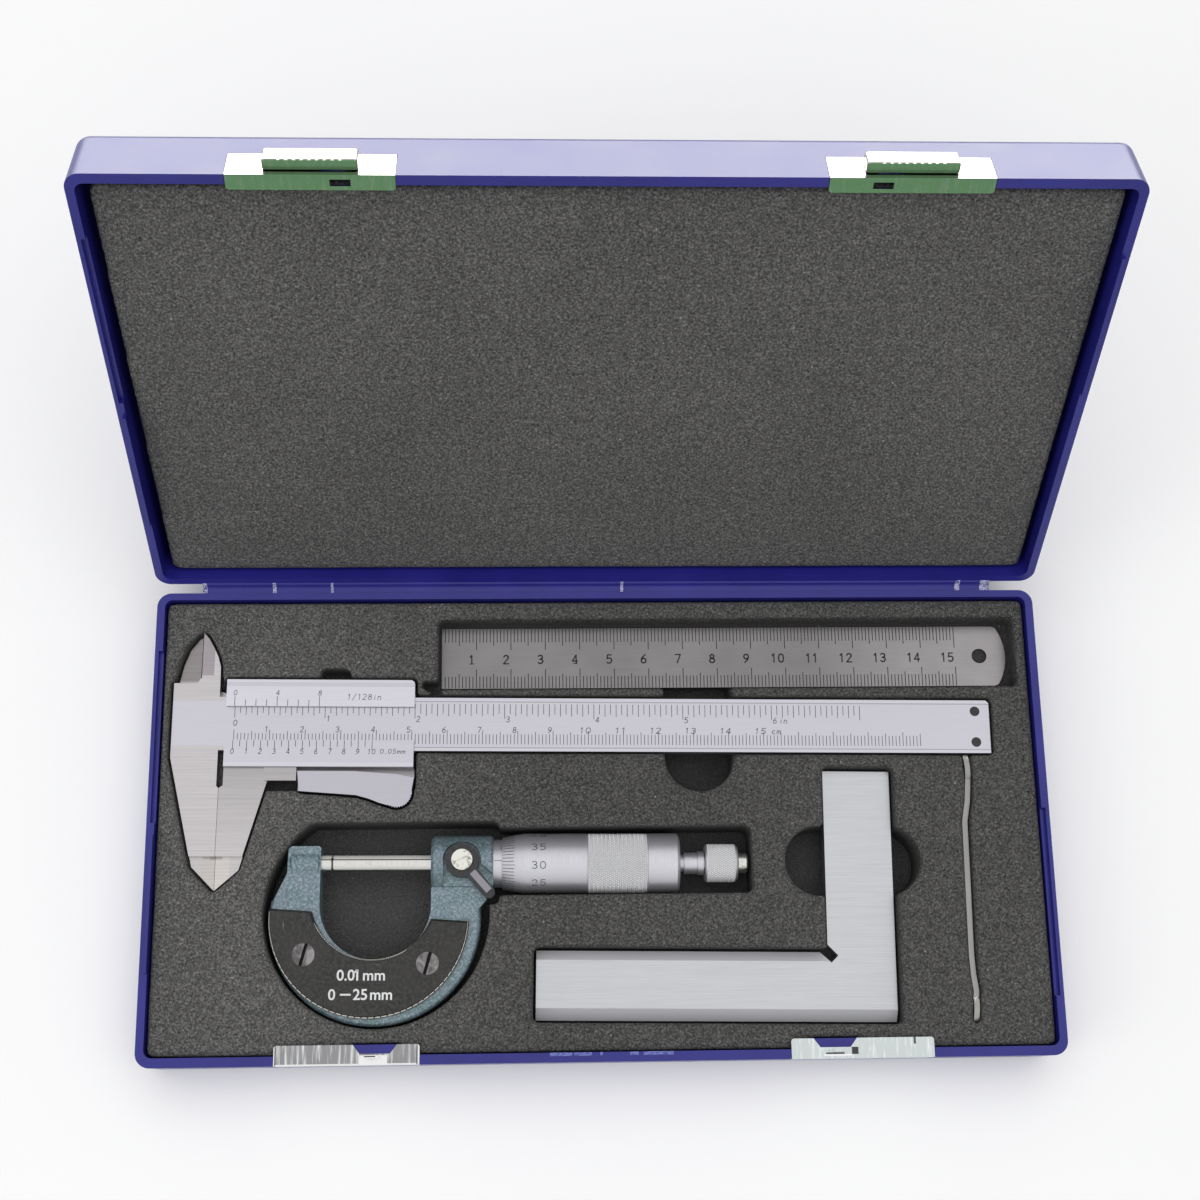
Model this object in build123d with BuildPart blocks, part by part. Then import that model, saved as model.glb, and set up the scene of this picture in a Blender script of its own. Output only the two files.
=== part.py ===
import math
import os

from build123d import *

# All sizes are in millimetres. X to the right, Y to the hinge, Z up from the underside.
# Case
base_height = 19.0
lid_height = 18.0
corner_radius = 4.0
edge_radius = 2.5
side_wall = 2.2
front_wall = 2.6
rear_wall = 2.0
skin = 1.6
rim_gap = 0.2

# Living hinge along the rear rim
hinge_gap = 3.0
hinge_left = -113.2
hinge_right = 113.6
bead_radius = 1.2
web_thickness = 0.7
open_angle = 118.0

# Locating ribs and recesses on the side rims
rib_thickness = 0.9
rib_height = 1.3
recess_width = 1.15
recess_depth = 1.6
left_rib = (-41.0, -3.5)
left_recess = (0.0, 49.0)
right_recess = (-50.0, 2.0)
lid_left_rib = (4.5, 42.5)
lid_left_recess = (-48.5, 0.5)
lid_right_rib = (-45.0, -3.0)

# Foam
foam_gap = 0.3
foam_corner = 2.0
backing_thickness = 1.0
foam_top = 17.2
lid_foam_left_gap = 2.3
lid_foam_right_gap = 1.4
lid_foam_front_gap = 1.9
lid_foam_recess = 3.0

# Latches
latch_inset = 56.3
latch_width = 39.0
sheet = 0.6
keeper_depth = 5.4
keeper_drop = 9.0
notch_shift = 7.5
notch_inner = 12.0
notch_outer = 8.2
notch_reach = 2.4
boss_width = 15.0
tongue_shift = 6.8
tongue_width = 4.0
tongue_front = 1.7
tongue_thickness = 0.8
tongue_height = 5.0
catch_depth = 4.0
catch_height = 8.8
slot_width = 4.8
slot_length = 1.7
slide_width = 22.0
slide_low = 1.65
slide_high = 6.9
slide_depth = 2.9
slide_sheet = 0.7
slide_travel = 4.0
finger_width = 1.4
finger_height = 1.4
finger_low = 1.9
finger_reach = 3.2

# Vernier caliper, drawn from its zero mark
head_length = 17.5
head_margin = 2.8
end_margin = 12.1
caliper_turn = -0.67
beam_low = 12.3
beam_thickness = 3.5
beam_half = 7.7
beam_end = 215.2
jaw_line = -3.6
jaw_gap = 0.1
jaw_bottom = -47.1
slider_low = 10.3
slider_high = 16.8
slider_back = 1.7
slider_corner = 1.3
slider_left = -2.4
slider_right = 50.7
slider_top = 12.6
slider_bottom = -12.6
window_half = 4.85
run_gap = 0.15
gib_height = 1.1
rod_width = 2.6
rod_depth = 1.4
stop_length = 6.4
stop_margin = 0.8
stop_screw_v = 4.5
stop_thickness = 1.0
stop_screw_diameter = 2.2
lever_pin_u = 21.5
lever_pin_v = -16.2
lever_pin_diameter = 2.4
thumb_u = 46.2
thumb_v = -19.7
thumb_radius = 4.2
thumb_notch = 0.25
thumb_notches = 11
head_outline = [(-17.5, 11.6), (-17.4, -9.9), (-10.1, -40.5), (-3.6, -47.1), (-3.6, -18.5), (-4.2, -17.9),
                (-4.2, -7.7), (0.0, -7.7), (0.0, 7.7), (-4.5, 7.7), (-4.5, 11.8)]
moving_jaw_outline = [(-3.5, -18.5), (-3.5, -47.1), (2.9, -41.4), (9.9, -16.4), (9.9, -8.0), (-2.4, -8.0),
                      (-2.4, -17.7)]
fixed_horn_outline = [(-11.2, 11.2), (-9.9, 13.3), (-10.0, 19.9), (-9.7, 26.4), (-8.2, 24.6), (-6.7, 22.0),
                      (-5.4, 19.3), (-4.6, 16.4), (-4.5, 11.2)]
moving_horn_outline = [(-16.3, 12.2), (-15.2, 17.2), (-13.6, 21.6), (-11.0, 25.0), (-10.3, 25.4), (-10.3, 20.0),
                       (-10.4, 12.2)]
horn_web_outline = [(-16.3, 5.0), (-16.3, 12.4), (-10.4, 12.4), (-2.0, 9.0), (-2.0, 5.0)]
lever_outline = [(18.2, -13.6), (18.9, -19.3), (34.7, -20.4), (38.4, -21.4), (41.4, -22.6), (43.6, -23.2),
                 (46.2, -20.7), (50.2, -19.7), (50.9, -15.4), (46.0, -14.4), (34.0, -13.6)]
lever_skin = 0.6
lever_drop = 0.8
rail_depth = 2.6
jaw_root_left = 9.0
jaw_root_right = 18.0
jaw_root_bottom = -16.4
lug_right = 30.0
lug_bottom = -18.6
tip_step = -37.7
tip_bottom = -48.0
tip_depth = 1.1

# Outside micrometer, drawn from its measuring face along the spindle
micrometer_margin = 48.3
micrometer_turn = -0.43
axis_height = 11.1
frame_half = 3.5
frame_centre = (12.5, -15.6)
frame_radius = 29.2
frame_fillet = 1.2
throat_centre = (12.5, -11.4)
throat_radius = 15.4
cover_thickness = 1.5
cover_centre = (10.9, -15.1)
cover_outer = 27.6
cover_throat = (11.9, -9.5)
cover_inner = 17.2
cover_screw_spots = [(-6.7, -25.4), (27.2, -27.9)]
cover_screw_head = 6.2
cover_screw_shank = 2.4
boss_start = 27.8
boss_end = 45.0
boss_diameter = 15.6
spindle_diameter = 5.0
spindle_gap = 0.3
thread_diameter = 7.0
measuring_gap = 0.3
anvil_length = 8.5
sleeve_end = 73.0
sleeve_diameter = 13.4
sleeve_bore = 8.4
nut_end = 78.0
nut_diameter = 12.4
thimble_edge = 47.5
thimble_bevel = 53.5
thimble_end = 97.0
thimble_diameter = 16.8
thimble_mouth = 14.6
thimble_bore = 14.0
thimble_bore_end = 91.0
spindle_tail = 93.0
stem_end = 104.0
stem_neck = 4.8
stem_neck_end = 98.5
stem_diameter = 6.0
stem_collar = 102.0
stem_collar_diameter = 6.6
knob_end = 113.5
knob_diameter = 10.8
knob_bore = 5.0
cap_end = 116.5
cap_diameter = 5.6
lock_u = 36.4
lock_v = 0.2
lock_floor = 4.0
lock_recess = 10.6
hub_diameter = 9.3
hub_low = 4.3
hub_high = 7.0
lock_screw_diameter = 5.8
lock_screw_top = 8.1
lock_shank = 3.0
lock_depth = 1.0

anvil_boss_outline = [(-11.9, 3.9), (-12.1, -3.0), (-15.4, -10.0), (-16.3, -12.5), (-2.9, -12.5), (-2.9, -4.8),
                      (-2.9, 4.2), (-3.6, 4.6), (-11.0, 4.6)]
neck_outline = [(27.8, -7.0), (27.8, -12.5), (41.4, -12.5), (44.6, -8.8), (44.8, -6.0)]
frame_top = -10.5
cover_cut = [(-30.0, -11.9), (50.0, -17.2), (50.0, 30.0), (-30.0, 30.0)]
cover_chamfer = 0.6
screw_slot = 0.9
screw_slot_depth = 0.7
lock_exit = [(31.2, 0.2), (31.2, -12.0), (45.5, -12.0), (45.5, -4.0), (41.8, -0.8), (41.8, 0.2)]
lock_arm = [(35.2, -1.0), (43.2, -10.3), (44.6, -10.4), (45.6, -9.3), (45.4, -8.0), (37.8, 1.4)]

# Steel rule
rule_length = 164.9
rule_width = 17.9
rule_end_gap = 4.4
rule_margin = 6.5
rule_low = 9.0
rule_thickness = 1.0
rule_end_radius = 16.0
rule_corner = 2.0
rule_hole_margin = 7.7
rule_hole = 4.4

# Square
square_margin = 42.8
square_front_margin = 7.1
square_turn = -1.0
square_long = 100.0
square_short = 70.0
square_limb = 19.0
square_low = 8.0
square_thickness = 5.0
square_bevels = ((3.3, 2.0), (2.6, 1.5))
square_relief = 2.8

# Adjusting spanner, stored on its edge, drawn from the middle of its handle
spanner_margin = 21.6
spanner_front_margin = 43.4
spanner_outline = [(1.9, 38.0), (2.3, 30.9), (1.7, 24.6), (0.6, 19.0), (-0.1, -18.7), (0.1, -23.6),
                   (0.6, -28.3), (-0.2, -37.2)]
spanner_thickness = 1.5
spanner_low = 3.6
spanner_high = 16.2
spanner_middle = 9.9
spanner_head = 12.6
spanner_handle = 10.4
spanner_mouth = 5.0
spanner_head_at = 34.5
spanner_tail_at = -33.5
spanner_hook_at = 37.2
spanner_pin_at = -36.5

# Distances between the rows of tools, from the hinge to the front
rule_to_caliper = 11.0
caliper_to_micrometer = 39.5
micrometer_to_front = 52.5

# Pockets in the foam
pocket_gap = 0.7
slider_pocket_floor = 10.1
micrometer_pocket_shift = (0.4, 1.2)
micrometer_pocket_margin = 1.9
micrometer_pocket_right = 46.6
micrometer_pocket_back = 10.8
micrometer_shoulder = -12.2
barrel_slot_back = 9.0
barrel_slot_front = -9.7
barrel_slot_end = 117.2
rule_pocket_gaps = (0.6, 1.0, 1.6, 1.0)
finger_cut_left = 63.6
finger_cut_width = 19.5
finger_cut_front = -21.8
finger_cut_floor = 3.6
obround_left = -30.0
obround_length = 38.3
obround_y = 44.3
obround_width = 19.5
side_cut = (24.0, 32.3, 15.9)
corner_cut = [(50.5, 12.4), (57.9, 6.7), (57.9, 12.4)]

# Derived: the case is as large as its tools need
case_width = 2 * side_wall + head_margin + head_length + beam_end + end_margin
case_depth = (rear_wall + rule_margin + rule_width + rule_to_caliper + caliper_to_micrometer
              + micrometer_to_front + front_wall)
left_inside = -case_width / 2 + side_wall
right_inside = case_width / 2 - side_wall
rear_inside = case_depth / 2 - rear_wall
front_inside = -case_depth / 2 + front_wall
rule_right = right_inside - rule_end_gap
rule_left = rule_right - rule_length
rule_back = rear_inside - rule_margin
rule_front = rule_back - rule_width
caliper_x = left_inside + head_margin + head_length
caliper_y = rule_front - rule_to_caliper
micrometer_x = left_inside + micrometer_margin
micrometer_y = caliper_y - caliper_to_micrometer
square_x = right_inside - square_margin
square_y = front_inside + square_front_margin
spanner_x = right_inside - spanner_margin
spanner_y = front_inside + spanner_front_margin
stop_right = beam_end - stop_margin
stop_left = stop_right - stop_length
stop_screw_u = (stop_left + stop_right) / 2
pivot_y = case_depth / 2 + hinge_gap / 2
pivot_z = base_height
half_width = case_width / 2
latch_offset = half_width - latch_inset
boss_back = front_inside - front_wall + keeper_depth
micrometer_pocket_centre = (frame_centre[0] + micrometer_pocket_shift[0],
                            frame_centre[1] + micrometer_pocket_shift[1])
micrometer_pocket_radius = frame_radius + micrometer_pocket_margin
half_depth = case_depth / 2
inner_width = case_width - 2 * side_wall
inner_depth = case_depth - front_wall - rear_wall
inner_y = (front_wall - rear_wall) / 2
inner_radius = corner_radius - side_wall + 0.4
lid_rim = base_height + rim_gap
lid_top = base_height + lid_height
foam_low = skin + backing_thickness
beam_high = beam_low + beam_thickness
tongue_y = -half_depth + tongue_front + tongue_thickness / 2
finger_gap = 0.3

# Lid pieces are drawn as if the lid were shut, on this plane, which stands open
lid_plane = Plane(Location((0, pivot_y, pivot_z))
                  * Location((0, 0, 0), (-open_angle, 0, 0))
                  * Location((0, -pivot_y, -pivot_z)))
caliper_plane = Plane(Location((caliper_x, caliper_y, 0), (0, 0, caliper_turn)))
micrometer_plane = Plane(Location((micrometer_x, micrometer_y, axis_height), (0, 0, micrometer_turn)))
square_plane = Plane(Location((square_x, square_y, 0), (0, 0, square_turn)))
# Round micrometer pieces are turned about the spindle axis from profiles of (u, radius)
turning_plane = micrometer_plane
spindle_axis = Axis(micrometer_plane.origin, micrometer_plane.x_dir)

os.makedirs("parts", exist_ok=True)


def finish(piece, name):
    piece.part.label = name
    export_step(piece.part, f"parts/{name}.step")


def block(plane, x_from, x_to, y_from, y_to, z_from, z_to, mode=Mode.ADD):
    """Straight block between two corners of a plane's own coordinates."""
    with BuildSketch(plane.offset(z_from)) as outline:
        with Locations(((x_from + x_to) / 2, (y_from + y_to) / 2)):
            Rectangle(x_to - x_from, y_to - y_from)
    extrude(outline.sketch, amount=z_to - z_from, mode=mode)


def turned(points):
    """Solid of revolution about the spindle from (u, radius) points."""
    with BuildSketch(turning_plane) as profile:
        Polygon(*points, align=None)
    revolve(profile.sketch, axis=spindle_axis)


# Case base ------------------------------------------------------------
with BuildPart() as base_shell:
    with BuildSketch():
        RectangleRounded(case_width, case_depth, corner_radius)
    extrude(amount=base_height)
    fillet(base_shell.faces().sort_by(Axis.Z)[0].edges(), radius=edge_radius)
    with BuildSketch(Plane.XY.offset(skin)):
        with Locations((0, inner_y)):
            RectangleRounded(inner_width, inner_depth, inner_radius)
    extrude(amount=base_height, mode=Mode.SUBTRACT)
    inner_x = inner_width / 2
    block(Plane.XY, -inner_x - rib_thickness, -inner_x, *left_rib, base_height - 1.0, base_height + rib_height)
    block(Plane.XY, -inner_x - recess_width, -inner_x + 1.0, *left_recess,
          base_height - recess_depth, base_height + 1.0, Mode.SUBTRACT)
    block(Plane.XY, inner_x - 1.0, inner_x + recess_width, *right_recess,
          base_height - recess_depth, base_height + 1.0, Mode.SUBTRACT)
    for side in (-1, 1):
        seat = side * latch_offset
        seat_half = latch_width / 2 + 0.15
        block(Plane.XY, seat - seat_half, seat + seat_half, -half_depth - 1.0, -half_depth + front_wall + 0.1,
              base_height - sheet, base_height + 1.0, Mode.SUBTRACT)
        block(Plane.XY, seat - seat_half, seat + seat_half, -half_depth - 1.0, -half_depth + sheet,
              base_height - keeper_drop - 0.15, base_height + 1.0, Mode.SUBTRACT)
        # boss on the inside of the front wall, under the notch in the keeper
        boss_x = side * (latch_offset - notch_shift)
        block(Plane.XY, boss_x - boss_width / 2, boss_x + boss_width / 2, front_inside - 0.5, boss_back,
              foam_low + 0.2, base_height - sheet)
finish(base_shell, "base_shell")

with BuildPart() as hinge_strip:
    strip_middle = (hinge_left + hinge_right) / 2
    with BuildSketch(Plane.YZ.offset(hinge_left)):
        with Locations((pivot_y, pivot_z)):
            Circle(bead_radius)
        with Locations(((half_depth + pivot_y) / 2, pivot_z - 0.1 - web_thickness / 2)):
            Rectangle(hinge_gap / 2, web_thickness)
    extrude(amount=hinge_right - hinge_left)
finish(hinge_strip, "hinge_strip")

# Case lid -------------------------------------------------------------
with BuildPart() as lid_shell:
    with BuildSketch(lid_plane.offset(lid_rim)):
        RectangleRounded(case_width, case_depth, corner_radius)
    extrude(amount=lid_top - lid_rim)
    top_face = lid_shell.faces().sort_by(Axis(lid_plane.origin, lid_plane.z_dir))[-1]
    fillet(top_face.edges(), radius=edge_radius)
    with BuildSketch(lid_plane.offset(lid_rim)):
        with Locations((0, inner_y)):
            RectangleRounded(inner_width, inner_depth, inner_radius)
    extrude(amount=lid_top - skin - lid_rim, mode=Mode.SUBTRACT)
    block(lid_plane, -inner_x - rib_thickness, -inner_x, *lid_left_rib, lid_rim - rib_height, lid_rim + 1.0)
    block(lid_plane, inner_x, inner_x + rib_thickness, *lid_right_rib, lid_rim - rib_height, lid_rim + 1.0)
    block(lid_plane, -inner_x - recess_width, -inner_x + 1.0, *lid_left_recess,
          lid_rim - 1.0, lid_rim + recess_depth, Mode.SUBTRACT)
    for side in (-1, 1):
        seat = side * latch_offset
        seat_half = latch_width / 2 + 0.15
        tongue_x = side * (latch_offset - tongue_shift)
        latched = tongue_x - finger_gap / 2 * side
        released = latched + side * slide_travel
        window = sorted((latched - side * (finger_width / 2 + finger_gap),
                         released + side * (finger_width / 2 + finger_gap)))
        tongue_pocket = sorted((window[0], window[1], tongue_x - side * slot_width / 2))
        block(lid_plane, seat - seat_half, seat + seat_half, -half_depth - 1.0, -half_depth + front_wall + 0.1,
              lid_rim - 1.0, lid_rim + sheet, Mode.SUBTRACT)
        block(lid_plane, seat - seat_half, seat + seat_half, -half_depth - 1.0, -half_depth + sheet,
              lid_rim - 1.0, lid_rim + catch_height + 0.15, Mode.SUBTRACT)
        block(lid_plane, tongue_pocket[0], tongue_pocket[-1], tongue_y - slot_length / 2,
              -half_depth + front_wall + 0.5, lid_rim - 1.0, base_height + tongue_height + 0.5, Mode.SUBTRACT)
        block(lid_plane, window[0], window[1], -half_depth - 1.0, -half_depth + front_wall + 0.5,
              lid_rim + finger_low - finger_gap, lid_rim + finger_low + finger_height + finger_gap, Mode.SUBTRACT)
finish(lid_shell, "lid_shell")

with BuildPart() as lid_foam:
    lid_foam_left = left_inside + lid_foam_left_gap
    lid_foam_right = right_inside - lid_foam_right_gap
    lid_foam_front = front_inside + lid_foam_front_gap
    lid_foam_back = rear_inside - foam_gap
    with BuildSketch(lid_plane.offset(lid_rim + lid_foam_recess)):
        with Locations(((lid_foam_left + lid_foam_right) / 2, (lid_foam_front + lid_foam_back) / 2)):
            RectangleRounded(lid_foam_right - lid_foam_left, lid_foam_back - lid_foam_front, foam_corner)
    extrude(amount=lid_top - skin - lid_rim - lid_foam_recess)
finish(lid_foam, "lid_foam")

# Latches --------------------------------------------------------------
for side, hand in ((-1, "left"), (1, "right")):
    seat = side * latch_offset
    plate_half = latch_width / 2
    tongue_x = side * (latch_offset - tongue_shift)
    notch_x = side * (latch_offset - notch_shift)
    latched = tongue_x - finger_gap / 2 * side
    released = latched + side * slide_travel

    with BuildPart() as keeper:
        rim_edge = -half_depth + keeper_depth
        with BuildSketch(Plane.XY.offset(base_height - sheet)):
            with Locations((seat, -half_depth + keeper_depth / 2)):
                RectangleRounded(latch_width, keeper_depth, 0.8)
            Polygon((notch_x - notch_inner / 2, rim_edge + 0.1), (notch_x - notch_outer / 2, rim_edge - notch_reach),
                    (notch_x + notch_outer / 2, rim_edge - notch_reach), (notch_x + notch_inner / 2, rim_edge + 0.1),
                    align=None, mode=Mode.SUBTRACT)
        extrude(amount=sheet)
        block(Plane.XY, seat - plate_half, seat + plate_half, -half_depth, -half_depth + sheet,
              base_height - keeper_drop, base_height)
        block(Plane.XY, tongue_x - tongue_width / 2, tongue_x + tongue_width / 2,
              tongue_y - tongue_thickness / 2, tongue_y + tongue_thickness / 2,
              base_height - sheet, base_height + tongue_height)
        open_side = sorted((latched - side * (finger_width / 2 + finger_gap), tongue_x + side * tongue_width))
        block(Plane.XY, open_side[0], open_side[1], tongue_y - 1.0, tongue_y + 1.0,
              lid_rim + finger_low - finger_gap, lid_rim + finger_low + finger_height + finger_gap, Mode.SUBTRACT)
    finish(keeper, f"keeper_{hand}")

    with BuildPart() as latch_plate:
        window = sorted((latched - side * (finger_width / 2 + finger_gap),
                         released + side * (finger_width / 2 + finger_gap)))
        with BuildSketch(lid_plane.offset(lid_rim)):
            with Locations((seat, -half_depth + catch_depth / 2)):
                RectangleRounded(latch_width, catch_depth, 0.8)
            with Locations((tongue_x, tongue_y)):
                Rectangle(slot_width, slot_length, mode=Mode.SUBTRACT)
        extrude(amount=sheet)
        block(lid_plane, seat - plate_half, seat + plate_half, -half_depth, -half_depth + sheet,
              lid_rim, lid_rim + catch_height)
        block(lid_plane, window[0], window[1], -half_depth - 1.0, -half_depth + sheet + 0.01,
              lid_rim + finger_low - finger_gap, lid_rim + finger_low + finger_height + finger_gap, Mode.SUBTRACT)
    finish(latch_plate, f"latch_plate_{hand}")

    with BuildPart() as latch_slider:
        back = -half_depth - 0.1
        front = -half_depth - slide_depth
        block(lid_plane, seat - slide_width / 2, seat + slide_width / 2, front, back,
              lid_rim + slide_low, lid_rim + slide_high)
        block(lid_plane, seat - slide_width / 2 - 1.0, seat + slide_width / 2 + 1.0, front + slide_sheet, back + 1.0,
              lid_rim + slide_low + slide_sheet, lid_rim + slide_high - slide_sheet, Mode.SUBTRACT)
        block(lid_plane, released - finger_width / 2, released + finger_width / 2,
              front + slide_sheet / 2, -half_depth + finger_reach,
              lid_rim + finger_low, lid_rim + finger_low + finger_height)
    finish(latch_slider, f"latch_slider_{hand}")


# Vernier caliper ------------------------------------------------------
horn_split = beam_low + beam_thickness / 2
channel_low = slider_low + slider_back
channel_high = beam_high + 2 * run_gap
channel_back = beam_half + run_gap + gib_height + run_gap
lever_high = slider_high - lever_drop


def thumb_lever_profile():
    Polygon(*lever_outline, align=None)
    with Locations((thumb_u, thumb_v)):
        Circle(thumb_radius)


with BuildPart() as caliper_beam:
    with BuildSketch(caliper_plane.offset(beam_low)):
        Polygon(*head_outline, align=None)
        with Locations((beam_end / 2, 0)):
            Rectangle(beam_end, 2 * beam_half)
    extrude(amount=beam_thickness)
    chamfer(caliper_beam.edges().filter_by(Axis.Z).group_by(Axis.X)[-1], length=stop_margin)
    # the fixed horn is the front half, and the moving one passes behind it
    with BuildSketch(caliper_plane.offset(horn_split + jaw_gap / 2)):
        Polygon(*fixed_horn_outline, align=None)
    extrude(amount=beam_thickness / 2 - jaw_gap / 2)
    # thinned tip of the long jaw, groove for the depth rod, screw holes
    block(caliper_plane, -head_length, jaw_line + 1.0, tip_bottom, tip_step, beam_high - tip_depth,
          beam_high + 1.0, Mode.SUBTRACT)
    block(caliper_plane, run_gap, beam_end + 1.0, -rod_width / 2 - run_gap, rod_width / 2 + run_gap,
          beam_low - 1.0, beam_low + rod_depth + run_gap, Mode.SUBTRACT)
    with BuildSketch(caliper_plane.offset(beam_low)):
        with Locations((stop_screw_u, stop_screw_v), (stop_screw_u, -stop_screw_v)):
            Circle(stop_screw_diameter / 2)
    extrude(amount=beam_thickness, mode=Mode.SUBTRACT)
finish(caliper_beam, "caliper_beam")

with BuildPart() as caliper_slider:
    block(caliper_plane, slider_left, slider_right, slider_bottom, slider_top, slider_low, slider_high)
    corner_edges = caliper_slider.edges().filter_by(Axis.Z).sort_by(Axis.X)[-2:]
    fillet(corner_edges.sort_by(Axis.Y)[-1], radius=slider_corner)
    block(caliper_plane, jaw_root_left, jaw_root_right, jaw_root_bottom, slider_bottom, beam_low, slider_high - 0.4)
    # lug that carries the thumb lever, and web that carries the moving horn behind the head
    block(caliper_plane, jaw_root_right, lug_right, lug_bottom, slider_bottom, slider_low, channel_low)
    block(caliper_plane, jaw_root_right, slider_right, slider_bottom - rail_depth, slider_bottom,
          slider_low, channel_low)
    with BuildSketch(caliper_plane.offset(slider_low)):
        Polygon(*horn_web_outline, align=None)
    extrude(amount=slider_back)
    with BuildSketch(caliper_plane.offset(slider_low)):
        Polygon(*moving_horn_outline, align=None)
    extrude(amount=horn_split - jaw_gap / 2 - slider_low)
    with BuildSketch(caliper_plane.offset(beam_low)):
        Polygon(*moving_jaw_outline, align=None)
    extrude(amount=beam_thickness)
    block(caliper_plane, jaw_line, jaw_root_left, tip_bottom, tip_step, beam_high - tip_depth,
          beam_high + 1.0, Mode.SUBTRACT)
    # running channel for the beam and the gib, and the window over the beam's scales
    block(caliper_plane, slider_left - 1.0, slider_right + 1.0, -beam_half - run_gap, channel_back,
          channel_low, channel_high, Mode.SUBTRACT)
    block(caliper_plane, slider_left - 1.0, slider_right + 1.0, -window_half, window_half,
          beam_high, slider_high + 1.0, Mode.SUBTRACT)
    with BuildSketch(caliper_plane.offset(slider_low)):
        with Locations((lever_pin_u, lever_pin_v)):
            Circle(lever_pin_diameter / 2)
    extrude(amount=slider_back, mode=Mode.SUBTRACT)
finish(caliper_slider, "caliper_slider")

with BuildPart() as caliper_gib:
    gib_v = beam_half + run_gap
    block(caliper_plane, slider_left + 5.0, slider_right - 4.0, gib_v, gib_v + gib_height,
          channel_low + run_gap, beam_high)
finish(caliper_gib, "caliper_gib")

with BuildPart() as depth_rod:
    block(caliper_plane, 1.0, beam_end, -rod_width / 2, rod_width / 2, beam_low, beam_low + rod_depth)
    block(caliper_plane, slider_right - 11.0, slider_right - 2.0, -rod_width / 2, rod_width / 2,
          channel_low, beam_low + run_gap)
finish(depth_rod, "depth_rod")

with BuildPart() as lever_pin:
    with BuildSketch(caliper_plane.offset(slider_low)):
        with Locations((lever_pin_u, lever_pin_v)):
            Circle(lever_pin_diameter / 2)
    extrude(amount=lever_high - lever_skin - run_gap - slider_low)
finish(lever_pin, "lever_pin")

with BuildPart() as thumb_lever:
    with BuildSketch(caliper_plane.offset(channel_low + run_gap)):
        thumb_lever_profile()
        with Locations((lever_pin_u, lever_pin_v)):
            Circle(lever_pin_diameter / 2 + run_gap, mode=Mode.SUBTRACT)
        # grip notches round the thumb pad
        with Locations((thumb_u, thumb_v)):
            with PolarLocations(thumb_radius, thumb_notches, start_angle=-112.0, angular_range=100.0, endpoint=True):
                Circle(thumb_notch, mode=Mode.SUBTRACT)
    extrude(amount=lever_high - channel_low - run_gap)
    with BuildSketch(caliper_plane.offset(lever_high - lever_skin)):
        with Locations((lever_pin_u, lever_pin_v)):
            Circle(lever_pin_diameter / 2 + 2 * run_gap)
    extrude(amount=lever_skin)
finish(thumb_lever, "thumb_lever")

with BuildPart() as end_stop:
    block(caliper_plane, stop_left, stop_right, -beam_half + 1.0, beam_half - 1.0, beam_low - stop_thickness, beam_low)
    with BuildSketch(caliper_plane.offset(beam_low - stop_thickness)):
        with Locations((stop_screw_u, stop_screw_v), (stop_screw_u, -stop_screw_v)):
            Circle(stop_screw_diameter / 2)
    extrude(amount=stop_thickness, mode=Mode.SUBTRACT)
finish(end_stop, "end_stop")

with BuildPart() as end_stop_screws:
    with BuildSketch(caliper_plane.offset(beam_low - stop_thickness)):
        with Locations((stop_screw_u, stop_screw_v), (stop_screw_u, -stop_screw_v)):
            Circle(stop_screw_diameter / 2)
    extrude(amount=beam_thickness + stop_thickness)
finish(end_stop_screws, "end_stop_screws")

# Outside micrometer ---------------------------------------------------
with BuildPart() as micrometer_frame:
    with BuildSketch(micrometer_plane.offset(-frame_half)):
        with Locations(frame_centre):
            Circle(frame_radius)
        with Locations(throat_centre):
            Circle(throat_radius, mode=Mode.SUBTRACT)
        with Locations((frame_centre[0], frame_top + frame_radius)):
            Rectangle(3 * frame_radius, 2 * frame_radius, mode=Mode.SUBTRACT)
        Polygon(*anvil_boss_outline, align=None)
        Polygon(*neck_outline, align=None)
    extrude(amount=2 * frame_half)
    rim_edges = micrometer_frame.edges().filter_by(GeomType.CIRCLE).group_by(SortBy.RADIUS)[-1]
    fillet(rim_edges, radius=frame_fillet)
    turned([(boss_start, 0), (boss_start, boss_diameter / 2 - 0.8), (boss_start + 0.8, boss_diameter / 2),
            (boss_end - 0.5, boss_diameter / 2), (boss_end, boss_diameter / 2 - 0.5), (boss_end, 0)])
    # anvil boss
    turned([(-11.5, 0), (-11.5, 3.6), (-10.9, 4.2), (-3.6, 4.2), (-3.0, 3.6), (-3.0, 0)])
    with BuildSketch(micrometer_plane.offset(lock_floor)):
        with Locations((lock_u, lock_v)):
            Circle(lock_recess / 2)
        Polygon(*lock_exit, align=None)
    extrude(amount=boss_diameter / 2, mode=Mode.SUBTRACT)
    with BuildSketch(turning_plane):
        Polygon((boss_start - 1.0, 0), (boss_start - 1.0, spindle_diameter / 2 + spindle_gap),
                (boss_end + 1.0, spindle_diameter / 2 + spindle_gap), (boss_end + 1.0, 0), align=None)
        Polygon((-anvil_length, 0), (-anvil_length, spindle_diameter / 2), (-2.0, spindle_diameter / 2),
                (-2.0, 0), align=None)
    revolve(axis=spindle_axis, mode=Mode.SUBTRACT)
    with BuildSketch(micrometer_plane.offset(lock_floor - lock_depth)):
        with Locations((lock_u, lock_v)):
            Circle(lock_shank / 2 + run_gap)
    extrude(amount=lock_depth, mode=Mode.SUBTRACT)
    with BuildSketch(micrometer_plane.offset(-frame_half - 1.0)):
        with Locations(*cover_screw_spots):
            Circle(cover_screw_shank / 2)
    extrude(amount=2 * frame_half + 2.0, mode=Mode.SUBTRACT)
finish(micrometer_frame, "micrometer_frame")

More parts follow.
